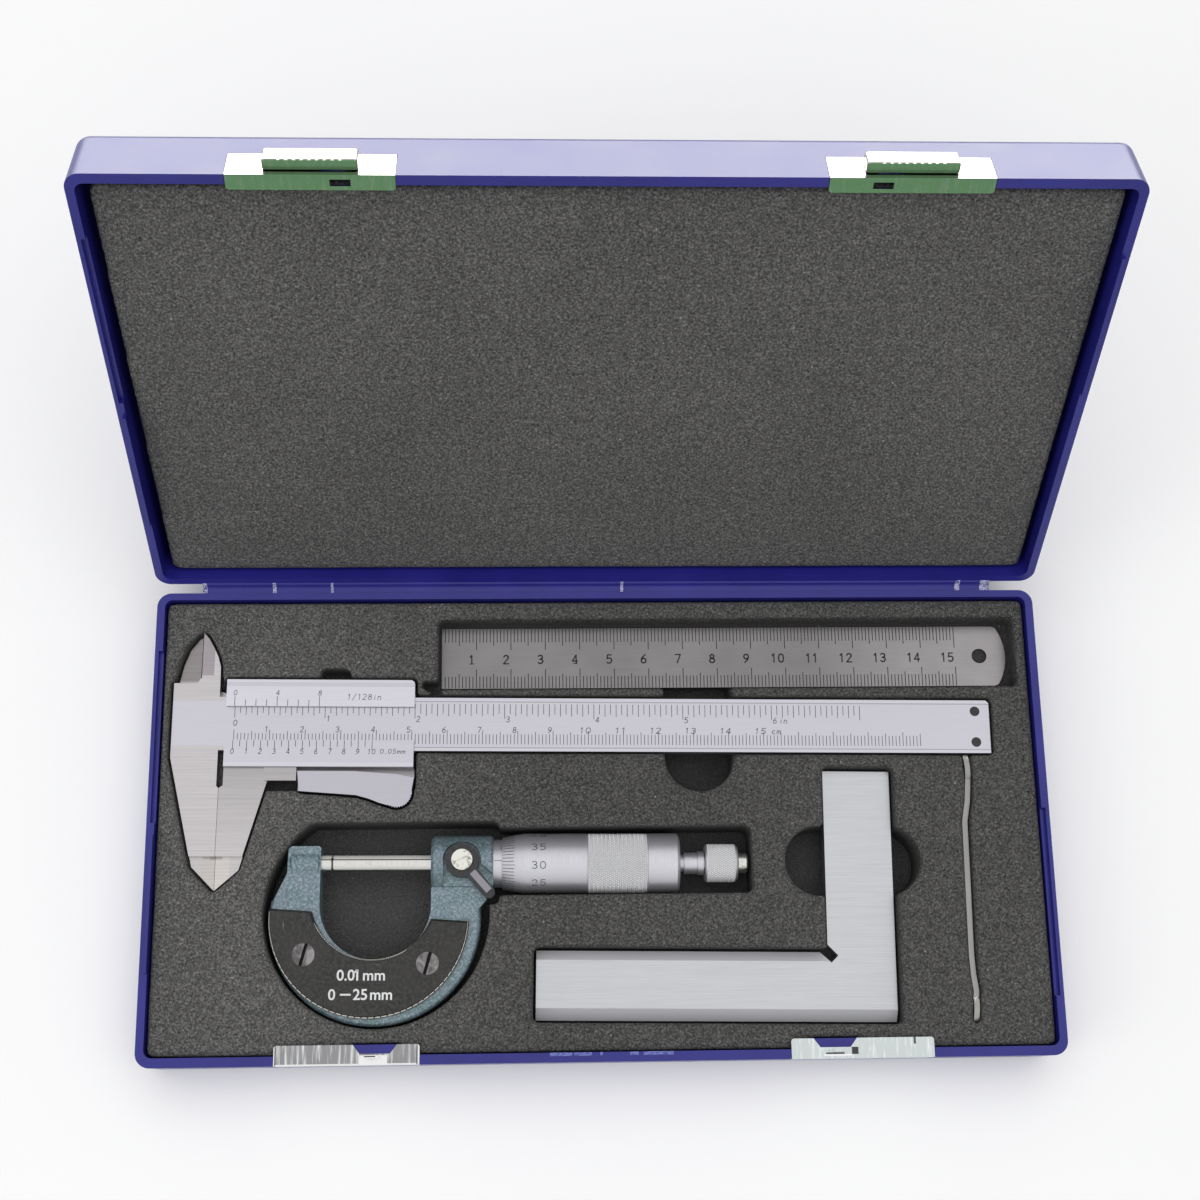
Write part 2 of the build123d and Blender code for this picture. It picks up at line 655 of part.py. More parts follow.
with BuildPart() as anvil:
    turned([(-anvil_length, 0), (-anvil_length, spindle_diameter / 2), (-0.2, spindle_diameter / 2),
            (0, spindle_diameter / 2 - 0.2), (0, 0)])
finish(anvil, "anvil")

for level, cover_name in ((frame_half, "front_cover"), (-frame_half - cover_thickness, "back_cover")):
    with BuildPart() as cover:
        with BuildSketch(micrometer_plane.offset(level)):
            with Locations(cover_centre):
                Circle(cover_outer)
            with Locations(cover_throat):
                Circle(cover_inner, mode=Mode.SUBTRACT)
            Polygon(*cover_cut, align=None, mode=Mode.SUBTRACT)
            with Locations(*cover_screw_spots):
                Circle(cover_screw_head / 2, mode=Mode.SUBTRACT)
        extrude(amount=cover_thickness)
        outer_face = cover.faces().sort_by(Axis.Z)[-1 if level > 0 else 0]
        chamfer(outer_face.outer_wire().edges(), length=cover_chamfer)
    finish(cover, cover_name)

with BuildPart() as cover_screws:
    for level in (frame_half, -frame_half - cover_thickness):
        with BuildSketch(micrometer_plane.offset(level)):
            with Locations(*cover_screw_spots):
                Circle(cover_screw_head / 2)
        extrude(amount=cover_thickness)
    with BuildSketch(micrometer_plane.offset(-frame_half)):
        with Locations(*cover_screw_spots):
            Circle(cover_screw_shank / 2)
    extrude(amount=2 * frame_half)
    with BuildSketch(micrometer_plane.offset(frame_half + cover_thickness - screw_slot_depth)):
        for spot in cover_screw_spots:
            with Locations(Location((*spot, 0), (0, 0, 75.0))):
                Rectangle(cover_screw_head + 1.0, screw_slot)
    extrude(amount=screw_slot_depth, mode=Mode.SUBTRACT)
finish(cover_screws, "cover_screws")

with BuildPart() as sleeve:
    turned([(boss_end, sleeve_bore / 2), (boss_end, sleeve_diameter / 2), (sleeve_end, sleeve_diameter / 2),
            (sleeve_end, sleeve_bore / 2)])
finish(sleeve, "sleeve")

with BuildPart() as adjusting_nut:
    turned([(sleeve_end, sleeve_bore / 2), (sleeve_end, nut_diameter / 2), (nut_end - 0.6, nut_diameter / 2),
            (nut_end, nut_diameter / 2 - 0.6), (nut_end, sleeve_bore / 2)])
finish(adjusting_nut, "adjusting_nut")

with BuildPart() as spindle:
    face = measuring_gap
    turned([(face, 0), (face, spindle_diameter / 2 - 0.2), (face + 0.2, spindle_diameter / 2),
            (boss_end + 1.5, spindle_diameter / 2), (boss_end + 3.0, thread_diameter / 2),
            (thimble_bore_end - 1.0, thread_diameter / 2), (thimble_bore_end - 1.0, spindle_diameter / 2),
            (spindle_tail, spindle_diameter / 2), (spindle_tail, 0)])
finish(spindle, "spindle")

with BuildPart() as thimble:
    turned([(thimble_edge, thimble_bore / 2), (thimble_edge, thimble_mouth / 2),
            (thimble_bevel, thimble_diameter / 2), (thimble_end - 0.8, thimble_diameter / 2),
            (thimble_end, thimble_diameter / 2 - 0.8), (thimble_end, 0), (spindle_tail + 0.5, 0),
            (spindle_tail + 0.5, spindle_diameter / 2 + spindle_gap),
            (thimble_bore_end, spindle_diameter / 2 + spindle_gap), (thimble_bore_end, thimble_bore / 2)])
finish(thimble, "thimble")

with BuildPart() as ratchet_stem:
    turned([(thimble_end, 0), (thimble_end, stem_neck / 2), (stem_neck_end, stem_neck / 2),
            (stem_neck_end, stem_diameter / 2), (stem_collar, stem_diameter / 2),
            (stem_collar, stem_diameter / 2 - 0.2), (stem_collar + 0.3, stem_diameter / 2 - 0.2),
            (stem_collar + 0.3, stem_collar_diameter / 2), (stem_end, stem_collar_diameter / 2),
            (stem_end, knob_bore / 2 - 0.3), (knob_end, knob_bore / 2 - 0.3), (knob_end, 0)])
finish(ratchet_stem, "ratchet_stem")

with BuildPart() as ratchet_knob:
    turned([(stem_end + 0.3, knob_bore / 2), (stem_end + 0.3, knob_diameter / 2 - 0.6),
            (stem_end + 0.9, knob_diameter / 2), (knob_end - 0.6, knob_diameter / 2),
            (knob_end, knob_diameter / 2 - 0.6), (knob_end, knob_bore / 2)])
finish(ratchet_knob, "ratchet_knob")

with BuildPart() as ratchet_screw:
    turned([(knob_end, 0), (knob_end, knob_bore / 2 - 0.3), (knob_end + 0.3, cap_diameter / 2),
            (cap_end - 0.5, cap_diameter / 2), (cap_end, cap_diameter / 2 - 0.5), (cap_end, 0)])
finish(ratchet_screw, "ratchet_screw")

with BuildPart() as lock_lever:
    with BuildSketch(micrometer_plane.offset(hub_low)):
        with Locations((lock_u, lock_v)):
            Circle(hub_diameter / 2)
        Polygon(*lock_arm, align=None)
        with Locations((lock_u, lock_v)):
            Circle(lock_shank / 2, mode=Mode.SUBTRACT)
    extrude(amount=hub_high - hub_low)
finish(lock_lever, "lock_lever")

with BuildPart() as lock_screw:
    with BuildSketch(micrometer_plane.offset(lock_floor - lock_depth + run_gap)):
        with Locations((lock_u, lock_v)):
            Circle(lock_shank / 2)
    extrude(amount=hub_high - lock_floor + lock_depth - run_gap)
    with BuildSketch(micrometer_plane.offset(hub_high)):
        with Locations((lock_u, lock_v)):
            Circle(lock_screw_diameter / 2)
    extrude(amount=lock_screw_top - hub_high)
    with BuildSketch(micrometer_plane.offset(lock_screw_top - screw_slot_depth)):
        with Locations(Location((lock_u, lock_v, 0), (0, 0, 25.0))):
            Rectangle(lock_screw_diameter + 1.0, screw_slot)
    extrude(amount=screw_slot_depth, mode=Mode.SUBTRACT)
finish(lock_screw, "lock_screw")

# Rule, square and spanner ---------------------------------------------
with BuildPart() as steel_rule:
    rule_middle = (rule_front + rule_back) / 2
    rule_half = (rule_back - rule_front) / 2
    corner = rule_right - rule_end_radius + math.sqrt(rule_end_radius ** 2 - rule_half ** 2)
    with BuildSketch(Plane.XY.offset(rule_low)):
        with BuildLine():
            Polyline((corner, rule_back), (rule_left, rule_back), (rule_left, rule_front), (corner, rule_front))
            ThreePointArc((corner, rule_front), (rule_right, rule_middle), (corner, rule_back))
        make_face()
        with Locations((rule_right - rule_hole_margin, rule_middle)):
            Circle(rule_hole / 2, mode=Mode.SUBTRACT)
    extrude(amount=rule_thickness)
    fillet(steel_rule.edges().filter_by(Axis.Z).group_by(Axis.X)[-1], radius=rule_corner)
finish(steel_rule, "steel_rule")


def square_profile():
    Polygon((0, 0), (0, square_short), (-square_limb, square_short), (-square_limb, square_limb),
            (-square_long, square_limb), (-square_long, 0), align=None)


with BuildPart() as square:
    with BuildSketch(square_plane.offset(square_low)):
        square_profile()
        with Locations(Location((-square_limb, square_limb, 0), (0, 0, -45.0))):
            Rectangle(2 * square_relief, square_relief, mode=Mode.SUBTRACT)
    extrude(amount=square_thickness)
    long_edges = square.edges().filter_by(Axis(square_plane.origin, square_plane.x_dir))
    top_edges = long_edges.group_by(Axis.Z)[-1].filter_by(lambda edge: edge.length > square_long / 2)
    top_face = square.faces().sort_by(Axis.Z)[-1]
    for edge, (bevel_width, bevel_drop) in zip(top_edges.sort_by(Axis.Y), square_bevels):
        chamfer(edge, length=bevel_width, length2=bevel_drop, reference=top_face)
        top_face = square.faces().sort_by(Axis.Z)[-1]
finish(square, "square")


def spanner_band(width):
    """Band of even width along the spanner's path, in the sketch being drawn."""
    with BuildLine() as path:
        Polyline(*spanner_outline)
    trace(path.line, line_width=width)


spanner_plane = Plane(origin=(spanner_x, spanner_y, 0))
with BuildPart() as spanner:
    with BuildSketch(spanner_plane.offset(spanner_low)):
        spanner_band(spanner_thickness)
    extrude(amount=spanner_high - spanner_low)
    # side view: hook head, narrower handle, pin tail
    with BuildSketch(Plane(origin=(spanner_x - spanner_margin, spanner_y, 0), x_dir=(0, 1, 0), z_dir=(1, 0, 0))):
        with Locations((spanner_head_at, spanner_middle), (spanner_tail_at, spanner_middle)):
            Circle(spanner_head / 2)
        with Locations(((spanner_head_at + spanner_tail_at) / 2, spanner_middle)):
            Rectangle(spanner_head_at - spanner_tail_at, spanner_handle)
        with Locations((spanner_hook_at, spanner_low + 1.0), (spanner_pin_at, spanner_low + 1.0)):
            Circle(spanner_mouth / 2, mode=Mode.SUBTRACT)
    extrude(amount=2 * spanner_margin, mode=Mode.INTERSECT)
finish(spanner, "spanner")

# Foam in the base -----------------------------------------------------
with BuildPart() as foam_backing:
    with BuildSketch(Plane.XY.offset(skin)):
        with Locations((0, inner_y)):
            RectangleRounded(inner_width - 2 * foam_gap, inner_depth - 2 * foam_gap, foam_corner)
    extrude(amount=backing_thickness)
finish(foam_backing, "foam_backing")

with BuildPart() as base_foam:
    with BuildSketch(Plane.XY.offset(foam_low)):
        with Locations((0, inner_y)):
            RectangleRounded(inner_width - 2 * foam_gap, inner_depth - 2 * foam_gap, foam_corner)
    extrude(amount=foam_top - foam_low)
    # caliper: one floor under the beam and jaws, a deeper one under the slider and lever
    with BuildSketch(caliper_plane.offset(beam_low)):
        Polygon(*head_outline, align=None)
        Polygon(*fixed_horn_outline, align=None)
        Polygon(*moving_jaw_outline, align=None)
        with Locations((beam_end / 2, 0)):
            Rectangle(beam_end, 2 * beam_half)
        offset(amount=pocket_gap)
    extrude(amount=foam_top, mode=Mode.SUBTRACT)
    with BuildSketch(caliper_plane.offset(slider_pocket_floor)):
        Polygon(*horn_web_outline, align=None)
        Polygon(*moving_horn_outline, align=None)
        with Locations(((slider_left + slider_right) / 2, (slider_top + slider_bottom) / 2)):
            Rectangle(slider_right - slider_left, slider_top - slider_bottom)
        with Locations(((jaw_root_left + slider_right) / 2, (lug_bottom + slider_bottom) / 2)):
            Rectangle(slider_right - jaw_root_left, slider_bottom - lug_bottom)
        thumb_lever_profile()
        offset(amount=pocket_gap)
    extrude(amount=foam_top, mode=Mode.SUBTRACT)
    block(caliper_plane, stop_left - pocket_gap, stop_right + pocket_gap, -beam_half, beam_half,
          beam_low - stop_thickness - run_gap, foam_top, Mode.SUBTRACT)
    # rule, with the long finger cut that also reaches the caliper's beam
    block(Plane.XY, rule_left - rule_pocket_gaps[0], rule_right + rule_pocket_gaps[1],
          rule_front - rule_pocket_gaps[2], rule_back + rule_pocket_gaps[3], rule_low, foam_top + 1.0,
          Mode.SUBTRACT)
    with BuildSketch(Plane.XY.offset(finger_cut_floor)):
        cut_x = rule_left + finger_cut_left + finger_cut_width / 2
        cut_low, cut_high = rule_front + finger_cut_front, rule_front + rule_pocket_gaps[3]
        with Locations((cut_x, (cut_low + cut_high) / 2)):
            Rectangle(finger_cut_width, cut_high - cut_low)
        with Locations((cut_x, cut_low)):
            Circle(finger_cut_width / 2)
    extrude(amount=foam_top, mode=Mode.SUBTRACT)
    # micrometer, cut through to the backing
    with BuildSketch(Plane(origin=(micrometer_x, micrometer_y, foam_low))):
        with Locations(micrometer_pocket_centre):
            Circle(micrometer_pocket_radius)
        with Locations(((micrometer_pocket_centre[0] + micrometer_pocket_right) / 2,
                        (micrometer_shoulder + micrometer_pocket_back) / 2)):
            Rectangle(micrometer_pocket_right - micrometer_pocket_centre[0],
                      micrometer_pocket_back - micrometer_shoulder)
        with Locations((micrometer_pocket_centre[0], micrometer_pocket_back + micrometer_pocket_radius)):
            Rectangle(3 * micrometer_pocket_radius, 2 * micrometer_pocket_radius, mode=Mode.SUBTRACT)
        with Locations((barrel_slot_end / 2 + boss_start / 2, (barrel_slot_front + barrel_slot_back) / 2)):
            Rectangle(barrel_slot_end - boss_start, barrel_slot_back - barrel_slot_front)
    extrude(amount=foam_top, mode=Mode.SUBTRACT)
    # square, over the round-ended finger recess
    with BuildSketch(square_plane.offset(square_low)):
        square_profile()
        offset(amount=pocket_gap)
    extrude(amount=foam_top, mode=Mode.SUBTRACT)
    with BuildSketch(Plane(origin=(square_x, square_y, foam_low))):
        with Locations((obround_left + obround_length / 2, obround_y)):
            SlotOverall(obround_length, obround_width)
    extrude(amount=foam_top, mode=Mode.SUBTRACT)
    # spanner slit
    with BuildSketch(spanner_plane.offset(spanner_low)):
        spanner_band(spanner_thickness + pocket_gap)
    extrude(amount=foam_top, mode=Mode.SUBTRACT)
    # room for the bosses under the keepers
    for side in (-1, 1):
        boss_x = side * (latch_offset - notch_shift)
        block(Plane.XY, boss_x - boss_width / 2 - foam_gap, boss_x + boss_width / 2 + foam_gap,
              front_inside - 1.0, boss_back + foam_gap, foam_low - 1.0, foam_top + 1.0, Mode.SUBTRACT)
    # small cuts beside the rule and the caliper's slider
    with BuildSketch(caliper_plane.offset(rule_low)):
        Polygon(*corner_cut, align=None)
        with Locations(((side_cut[0] + side_cut[1]) / 2, side_cut[2] / 2)):
            Rectangle(side_cut[1] - side_cut[0], side_cut[2])
    extrude(amount=foam_top, mode=Mode.SUBTRACT)
finish(base_foam, "base_foam")
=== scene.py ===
import math

import bmesh
import bpy
import numpy as np
from mathutils import Matrix, Vector, noise


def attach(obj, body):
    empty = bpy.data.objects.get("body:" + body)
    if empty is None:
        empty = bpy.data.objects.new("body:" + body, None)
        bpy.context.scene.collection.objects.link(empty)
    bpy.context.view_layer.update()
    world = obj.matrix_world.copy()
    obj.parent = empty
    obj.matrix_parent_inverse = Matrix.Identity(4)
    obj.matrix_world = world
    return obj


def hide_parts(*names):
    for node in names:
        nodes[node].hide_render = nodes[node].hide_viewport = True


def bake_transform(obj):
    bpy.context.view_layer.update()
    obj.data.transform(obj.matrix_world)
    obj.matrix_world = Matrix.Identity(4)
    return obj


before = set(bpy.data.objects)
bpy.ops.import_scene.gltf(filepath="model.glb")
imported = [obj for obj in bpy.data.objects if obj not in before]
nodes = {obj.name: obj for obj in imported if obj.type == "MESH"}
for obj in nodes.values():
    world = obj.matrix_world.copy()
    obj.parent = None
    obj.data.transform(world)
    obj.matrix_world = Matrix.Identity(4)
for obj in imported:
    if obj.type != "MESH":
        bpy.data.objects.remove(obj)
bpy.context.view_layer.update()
scene = bpy.context.scene
print("frame loaded:", len(nodes), "nodes")

milli = 0.001


# where each tool lies in the case: x, y, z in millimetres and its turn in degrees
toolPlaces = {
    "case": (0, 0, 0, 0),
    "caliper": (-103.5, 28.6, 0, -0.67),
    "micrometer": (-75.5, -10.9, 11.1, -0.43),
}
lidSwing = {"pivotY": 67.5, "pivotZ": 19.0, "openAngle": 118.0}


def toolFrame(tool):
    # turns that tool's own millimetres into the case's metres
    x, y, z, turn = toolPlaces[tool]
    turned = Matrix.Rotation(math.radians(turn), 4, "Z")
    return Matrix.Scale(milli, 4) @ Matrix.Translation((x, y, z)) @ turned


def shutLidFrame(pivotY, pivotZ, openAngle):
    # for points that are given as if the lid were shut
    toPivot = Matrix.Translation((0, pivotY, pivotZ))
    swing = Matrix.Rotation(math.radians(-openAngle), 4, "X")
    return Matrix.Scale(milli, 4) @ toPivot @ swing @ toPivot.inverted()


caseFrame = toolFrame("case")
caliperFrame = toolFrame("caliper")
micrometerFrame = toolFrame("micrometer")
lidFrame = shutLidFrame(**lidSwing)


# mesh tools
def newPiece(name, mesh, body, material):
    piece = bpy.data.objects.new(name, mesh)
    scene.collection.objects.link(piece)
    mesh.materials.append(material)
    if body:
        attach(piece, body)
    return piece


def meshFrom(name, points, faces, place, smooth=False):
    mesh = bpy.data.meshes.new(name)
    mesh.from_pydata([place @ Vector(point) for point in points], [], faces)
    mesh.validate()
    if smooth:
        mesh.shade_smooth()
    return mesh


boxFaces = ((3, 2, 1, 0), (4, 5, 6, 7), (0, 1, 5, 4), (1, 2, 6, 5), (2, 3, 7, 6), (3, 0, 4, 7))


def addBox(points, faces, low, high):
    # box between two corners, added to lists of points and faces
    start = len(points)
    for z in (low[2], high[2]):
        points += [(low[0], low[1], z), (high[0], low[1], z), (high[0], high[1], z), (low[0], high[1], z)]
    faces += [[start + corner for corner in face] for face in boxFaces]


def barFaces(columns, count):
    # sides and ends of a bar whose points come as one outline of count points after another
    faces = []
    for column in range(columns - 1):
        a, b = column * count, (column + 1) * count
        for k in range(count):
            n = (k + 1) % count
            faces.append([a + k, b + k, b + n, a + n])
    return faces + [list(range(count)), [(columns - 1) * count + k for k in reversed(range(count))]]


def addStroke(points, faces, path, width, low, high, place=None):
    # a drawn line of even width along a path of 2-D points, as one slab per run with round joints
    half = width / 2
    for (x0, y0), (x1, y1) in zip(path, path[1:]):
        length = math.hypot(x1 - x0, y1 - y0)
        ux, uy = (x1 - x0) / length, (y1 - y0) / length
        outline = []
        for first, (cx, cy) in ((90, (x0, y0)), (-90, (x1, y1))):
            for step in range(5):
                angle = math.radians(first + 45 * step)
                outline.append((cx + half * (math.cos(angle) * ux - math.sin(angle) * uy),
                                cy + half * (math.cos(angle) * uy + math.sin(angle) * ux)))
        addSlab(points, faces, outline, low, high, place)


def addSlab(points, faces, outline, low, high, place=None):
    # a flat outline given thickness; place lays its points on another surface
    start, count = len(points), len(outline)
    for z in (low, high):
        for x, y in outline:
            points.append(tuple(place(x, y, z)) if place else (x, y, z))
    faces.append([start + i for i in reversed(range(count))])
    faces.append([start + count + i for i in range(count)])
    for i in range(count):
        j = (i + 1) % count
        faces.append([start + i, start + j, start + count + j, start + count + i])


# single-line figures, as an engraving machine cuts them, on the cell given below them
figures = {
    "0": [[(2, 0), (0.6, 0.8), (0.2, 3), (0.6, 5.2), (2, 6), (3.4, 5.2), (3.8, 3), (3.4, 0.8), (2, 0)]],
    "1": [[(1.0, 4.8), (2.2, 6), (2.2, 0)]],
    "2": [[(0.4, 4.8), (1.1, 5.8), (2.6, 6), (3.6, 5), (3.5, 3.9), (0.3, 0), (3.8, 0)]],
    "3": [[(0.4, 5.3), (1.6, 6), (3.1, 5.6), (3.4, 4.4), (2.8, 3.4), (1.6, 3.2)],
          [(1.6, 3.2), (3.1, 2.9), (3.8, 1.7), (3.0, 0.4), (1.6, 0), (0.3, 0.8)]],
    "4": [[(2.9, 0), (2.9, 6), (0.2, 1.7), (3.9, 1.7)]],
    "5": [[(3.5, 6), (0.8, 6), (0.5, 3.3), (2.2, 3.8), (3.5, 3.0), (3.7, 1.6), (2.8, 0.3), (1.5, 0),
           (0.3, 0.7)]],
    "6": [[(3.2, 6), (1.2, 4.2), (0.3, 2.2), (0.7, 0.6), (2, 0), (3.4, 0.6), (3.7, 2), (2.9, 3.3), (1.5, 3.4),
           (0.5, 2.6)]],
    "7": [[(0.3, 6), (3.8, 6), (1.5, 0)]],
    "8": [[(2, 3.2), (0.8, 3.8), (0.6, 5.1), (2, 6), (3.4, 5.1), (3.2, 3.8), (2, 3.2), (0.6, 2.6), (0.2, 1.3),
           (0.9, 0.3), (2, 0), (3.1, 0.3), (3.8, 1.3), (3.4, 2.6), (2, 3.2)]],
    "9": [[(0.8, 0), (2.8, 1.8), (3.7, 3.8), (3.3, 5.4), (2, 6), (0.6, 5.4), (0.3, 4), (1.1, 2.7), (2.5, 2.6),
           (3.5, 3.4)]],
    "i": [[(2, 0), (2, 3.6)], [(2, 4.9), (2, 5.2)]],
    "n": [[(0.5, 0), (0.5, 3.6)], [(0.5, 2.7), (1.5, 3.6), (2.8, 3.6), (3.4, 2.8), (3.4, 0)]],
    "c": [[(3.4, 3.1), (2.4, 3.7), (1.0, 3.3), (0.4, 1.9), (1.0, 0.4), (2.4, 0), (3.4, 0.6)]],
    "m": [[(0.1, 0), (0.1, 3.6)], [(0.1, 2.8), (0.8, 3.6), (1.6, 3.5), (2.0, 2.8), (2.0, 0)],
          [(2.0, 2.8), (2.8, 3.6), (3.6, 3.5), (4.0, 2.8), (4.0, 0)]],
    "/": [[(0.5, -0.6), (3.6, 6.4)]],
    ".": [[(1.8, 0), (2.1, 0.2)]],
}
figureCell = {"wide": 4.0, "high": 6.0, "gap": 1.5, "drawn": 0.96, "narrow": {"i": 2.6, ".": 2.6, "1": 3.4}}


def addFigures(points, faces, text, u, v, height, stroke, low, high, slant=0.0, spread=1.0, place=None):
    # writes a row of figures; u, v is the middle of its foot
    scale = height / figureCell["high"]
    gap = figureCell["gap"]
    cells = [figureCell["narrow"].get(sign, figureCell["wide"]) for sign in text]
    left = u - (sum((cell + gap) * scale * spread for cell in cells) - gap * scale * spread) / 2
    across = scale * figureCell["drawn"] * spread
    for sign, cell in zip(text, cells):
        shift = (cell - figureCell["wide"]) / 2 * scale
        for path in figures[sign]:
            drawn = [(left + shift + (x + slant * y) * across, v + y * scale) for x, y in path]
            addStroke(points, faces, drawn, stroke, low, high, place)
        left += (cell + gap) * scale * spread


def tickSize(tick, sizes, seldom, often):
    # one of three sizes: for every seldom-th tick, for every often-th tick and for the rest
    return sizes[0] if tick % seldom == 0 else sizes[1] if tick % often == 0 else sizes[2]


# material tools
def newMaterial(name):
    material = bpy.data.materials.new(name)
    material.use_nodes = True
    shader = material.node_tree.nodes["Principled BSDF"]
    return material, material.node_tree, shader


def addNode(tree, kind, **settings):
    made = tree.nodes.new(kind)
    for key, value in settings.items():
        setattr(made, key, value)
    return made


def grey(value):
    return (value, value, value)


def setSocket(tree, socket, value):
    # takes another node's output, a number or a colour; a number in a colour socket is a grey
    if hasattr(value, "links"):
        tree.links.new(value, socket)
    elif socket.type == "RGBA":
        socket.default_value = (*(value if isinstance(value, tuple) else grey(value)), 1)
    else:
        socket.default_value = value


def combine(tree, operation, first, second):
    made = addNode(tree, "ShaderNodeMath", operation=operation)
    setSocket(tree, made.inputs[0], first)
    setSocket(tree, made.inputs[1], second)
    return made.outputs[0]


def anyOf(tree, masks):
    total = masks[0]
    for mask in masks[1:]:
        total = combine(tree, "MAXIMUM", total, mask)
    return total


def partsOf(tree, vector):
    split = addNode(tree, "ShaderNodeSeparateXYZ")
    tree.links.new(vector, split.inputs["Vector"])
    return split.outputs["X"], split.outputs["Y"], split.outputs["Z"]


def objectPoints(tree, stretch=(1, 1, 1), turn=(0, 0, 0)):
    mapping = addNode(tree, "ShaderNodeMapping")
    mapping.inputs["Scale"].default_value = stretch
    mapping.inputs["Rotation"].default_value = turn
    tree.links.new(addNode(tree, "ShaderNodeTexCoord").outputs["Object"], mapping.inputs["Vector"])
    return mapping.outputs["Vector"]


def toolPoints(tree, tool):
    # the piece's own millimetres, measured in the frame of one tool
    x, y, _, turn = toolPlaces[tool]
    mapping = addNode(tree, "ShaderNodeMapping", vector_type="TEXTURE")
    mapping.inputs["Location"].default_value = (x * milli, y * milli, 0)
    mapping.inputs["Rotation"].default_value = (0, 0, math.radians(turn))
    mapping.inputs["Scale"].default_value = (milli, milli, milli)
    tree.links.new(addNode(tree, "ShaderNodeTexCoord").outputs["Object"], mapping.inputs["Vector"])
    return partsOf(tree, mapping.outputs["Vector"])[:2]


def placeOf(tree):
    # the piece's own place in millimetres
    return partsOf(tree, objectPoints(tree, (1000, 1000, 1000)))


def between(tree, value, low, high):
    above = combine(tree, "GREATER_THAN", value, low)
    below = combine(tree, "LESS_THAN", value, high)
    return combine(tree, "MULTIPLY", above, below)


def areaOf(tree, u, v, edges):
    # 1 inside the area (u low, u high, v low, v high), 0 elsewhere
    return combine(tree, "MULTIPLY", between(tree, u, *edges[:2]), between(tree, v, *edges[2:]))


def shareOf(tree, value, start, end):
    # 0 at the start, 1 at the end
    return combine(tree, "DIVIDE", combine(tree, "SUBTRACT", value, start), end - start)


def facingOf(tree):
    # which way the surface faces
    return addNode(tree, "ShaderNodeTexCoord").outputs["Normal"]


def facing(tree, direction, sharpness):
    # 1 where the surface faces one way, 0 elsewhere
    product = addNode(tree, "ShaderNodeVectorMath", operation="DOT_PRODUCT")
    product.inputs[1].default_value = direction
    tree.links.new(facingOf(tree), product.inputs[0])
    return combine(tree, "GREATER_THAN", product.outputs["Value"], sharpness)


def noiseField(tree, points, scale, detail=3.0, roughness=0.55, distortion=0.0):
    field = addNode(tree, "ShaderNodeTexNoise")
    field.inputs["Scale"].default_value = scale
    field.inputs["Detail"].default_value = detail
    field.inputs["Roughness"].default_value = roughness
    field.inputs["Distortion"].default_value = distortion
    tree.links.new(points, field.inputs["Vector"])
    return field.outputs["Fac"]


def cellField(tree, points, scale, feature="F1"):
    field = addNode(tree, "ShaderNodeTexVoronoi", feature=feature)
    field.inputs["Scale"].default_value = scale
    tree.links.new(points, field.inputs["Vector"])
    return field.outputs["Distance"]


def ramp(tree, value, stops):
    # stops are (position, colour or grey level)
    made = addNode(tree, "ShaderNodeValToRGB")
    elements = made.color_ramp.elements
    while len(elements) < len(stops):
        elements.new(0.5)
    for element, (position, colour) in zip(elements, stops):
        element.position = position
        element.color = (*(colour if isinstance(colour, tuple) else grey(colour)), 1)
    tree.links.new(value, made.inputs["Fac"])
    return made.outputs["Color"]


def mixColours(tree, factor, first, second, blend="MIX"):
    made = addNode(tree, "ShaderNodeMix", data_type="RGBA", blend_type=blend)
    for index, value in ((0, factor), (6, first), (7, second)):
        setSocket(tree, made.inputs[index], value)
    return made.outputs[2]


def tinted(tree, colour, tint, share=1.0):
    return mixColours(tree, share, colour, tint, "MULTIPLY")


def darker(colour, share):
    return tuple(share * part for part in colour)


def bumpFrom(tree, shader, height, distance, strength=1.0):
    bump = addNode(tree, "ShaderNodeBump")
    bump.inputs["Strength"].default_value = strength
    bump.inputs["Distance"].default_value = distance
    tree.links.new(height, bump.inputs["Height"])
    tree.links.new(bump.outputs["Normal"], shader.inputs["Normal"])


def roughnessFrom(tree, shader, value, low, high):
    spread = addNode(tree, "ShaderNodeMapRange")
    spread.inputs["To Min"].default_value = low
    spread.inputs["To Max"].default_value = high
    tree.links.new(value, spread.inputs["Value"])
    tree.links.new(spread.outputs["Result"], shader.inputs["Roughness"])


def shaderOf(material):
    # the shader of a finished material, and the colour that it shows so far
    tree = material.node_tree
    shader = tree.nodes["Principled BSDF"]
    return tree, shader, shader.inputs["Base Color"].links[0].from_socket


def dress(material, *names):
    for name in names:
        mesh = nodes[name].data
        mesh.materials.clear()
        mesh.materials.append(material)


# camera and light
cameraView = {
    "place": (-0.019711, -0.074409, 0.486050),
    "aim": (14.27089, -2.05403, -0.85844),
    "lens": 50.735,
    "sensor": 36.0,
    "shift": (0.003346, 0.054167),
}


def makeCamera():
    lens = bpy.data.cameras.new("camera")
    lens.lens = cameraView["lens"]
    lens.sensor_width = cameraView["sensor"]
    lens.sensor_fit = "HORIZONTAL"
    lens.shift_x, lens.shift_y = cameraView["shift"]
    lens.clip_start, lens.clip_end = 0.01, 20.0
    camera = bpy.data.objects.new("camera", lens)
    scene.collection.objects.link(camera)
    camera.location = cameraView["place"]
    camera.rotation_euler = [math.radians(angle) for angle in cameraView["aim"]]
    scene.camera = camera


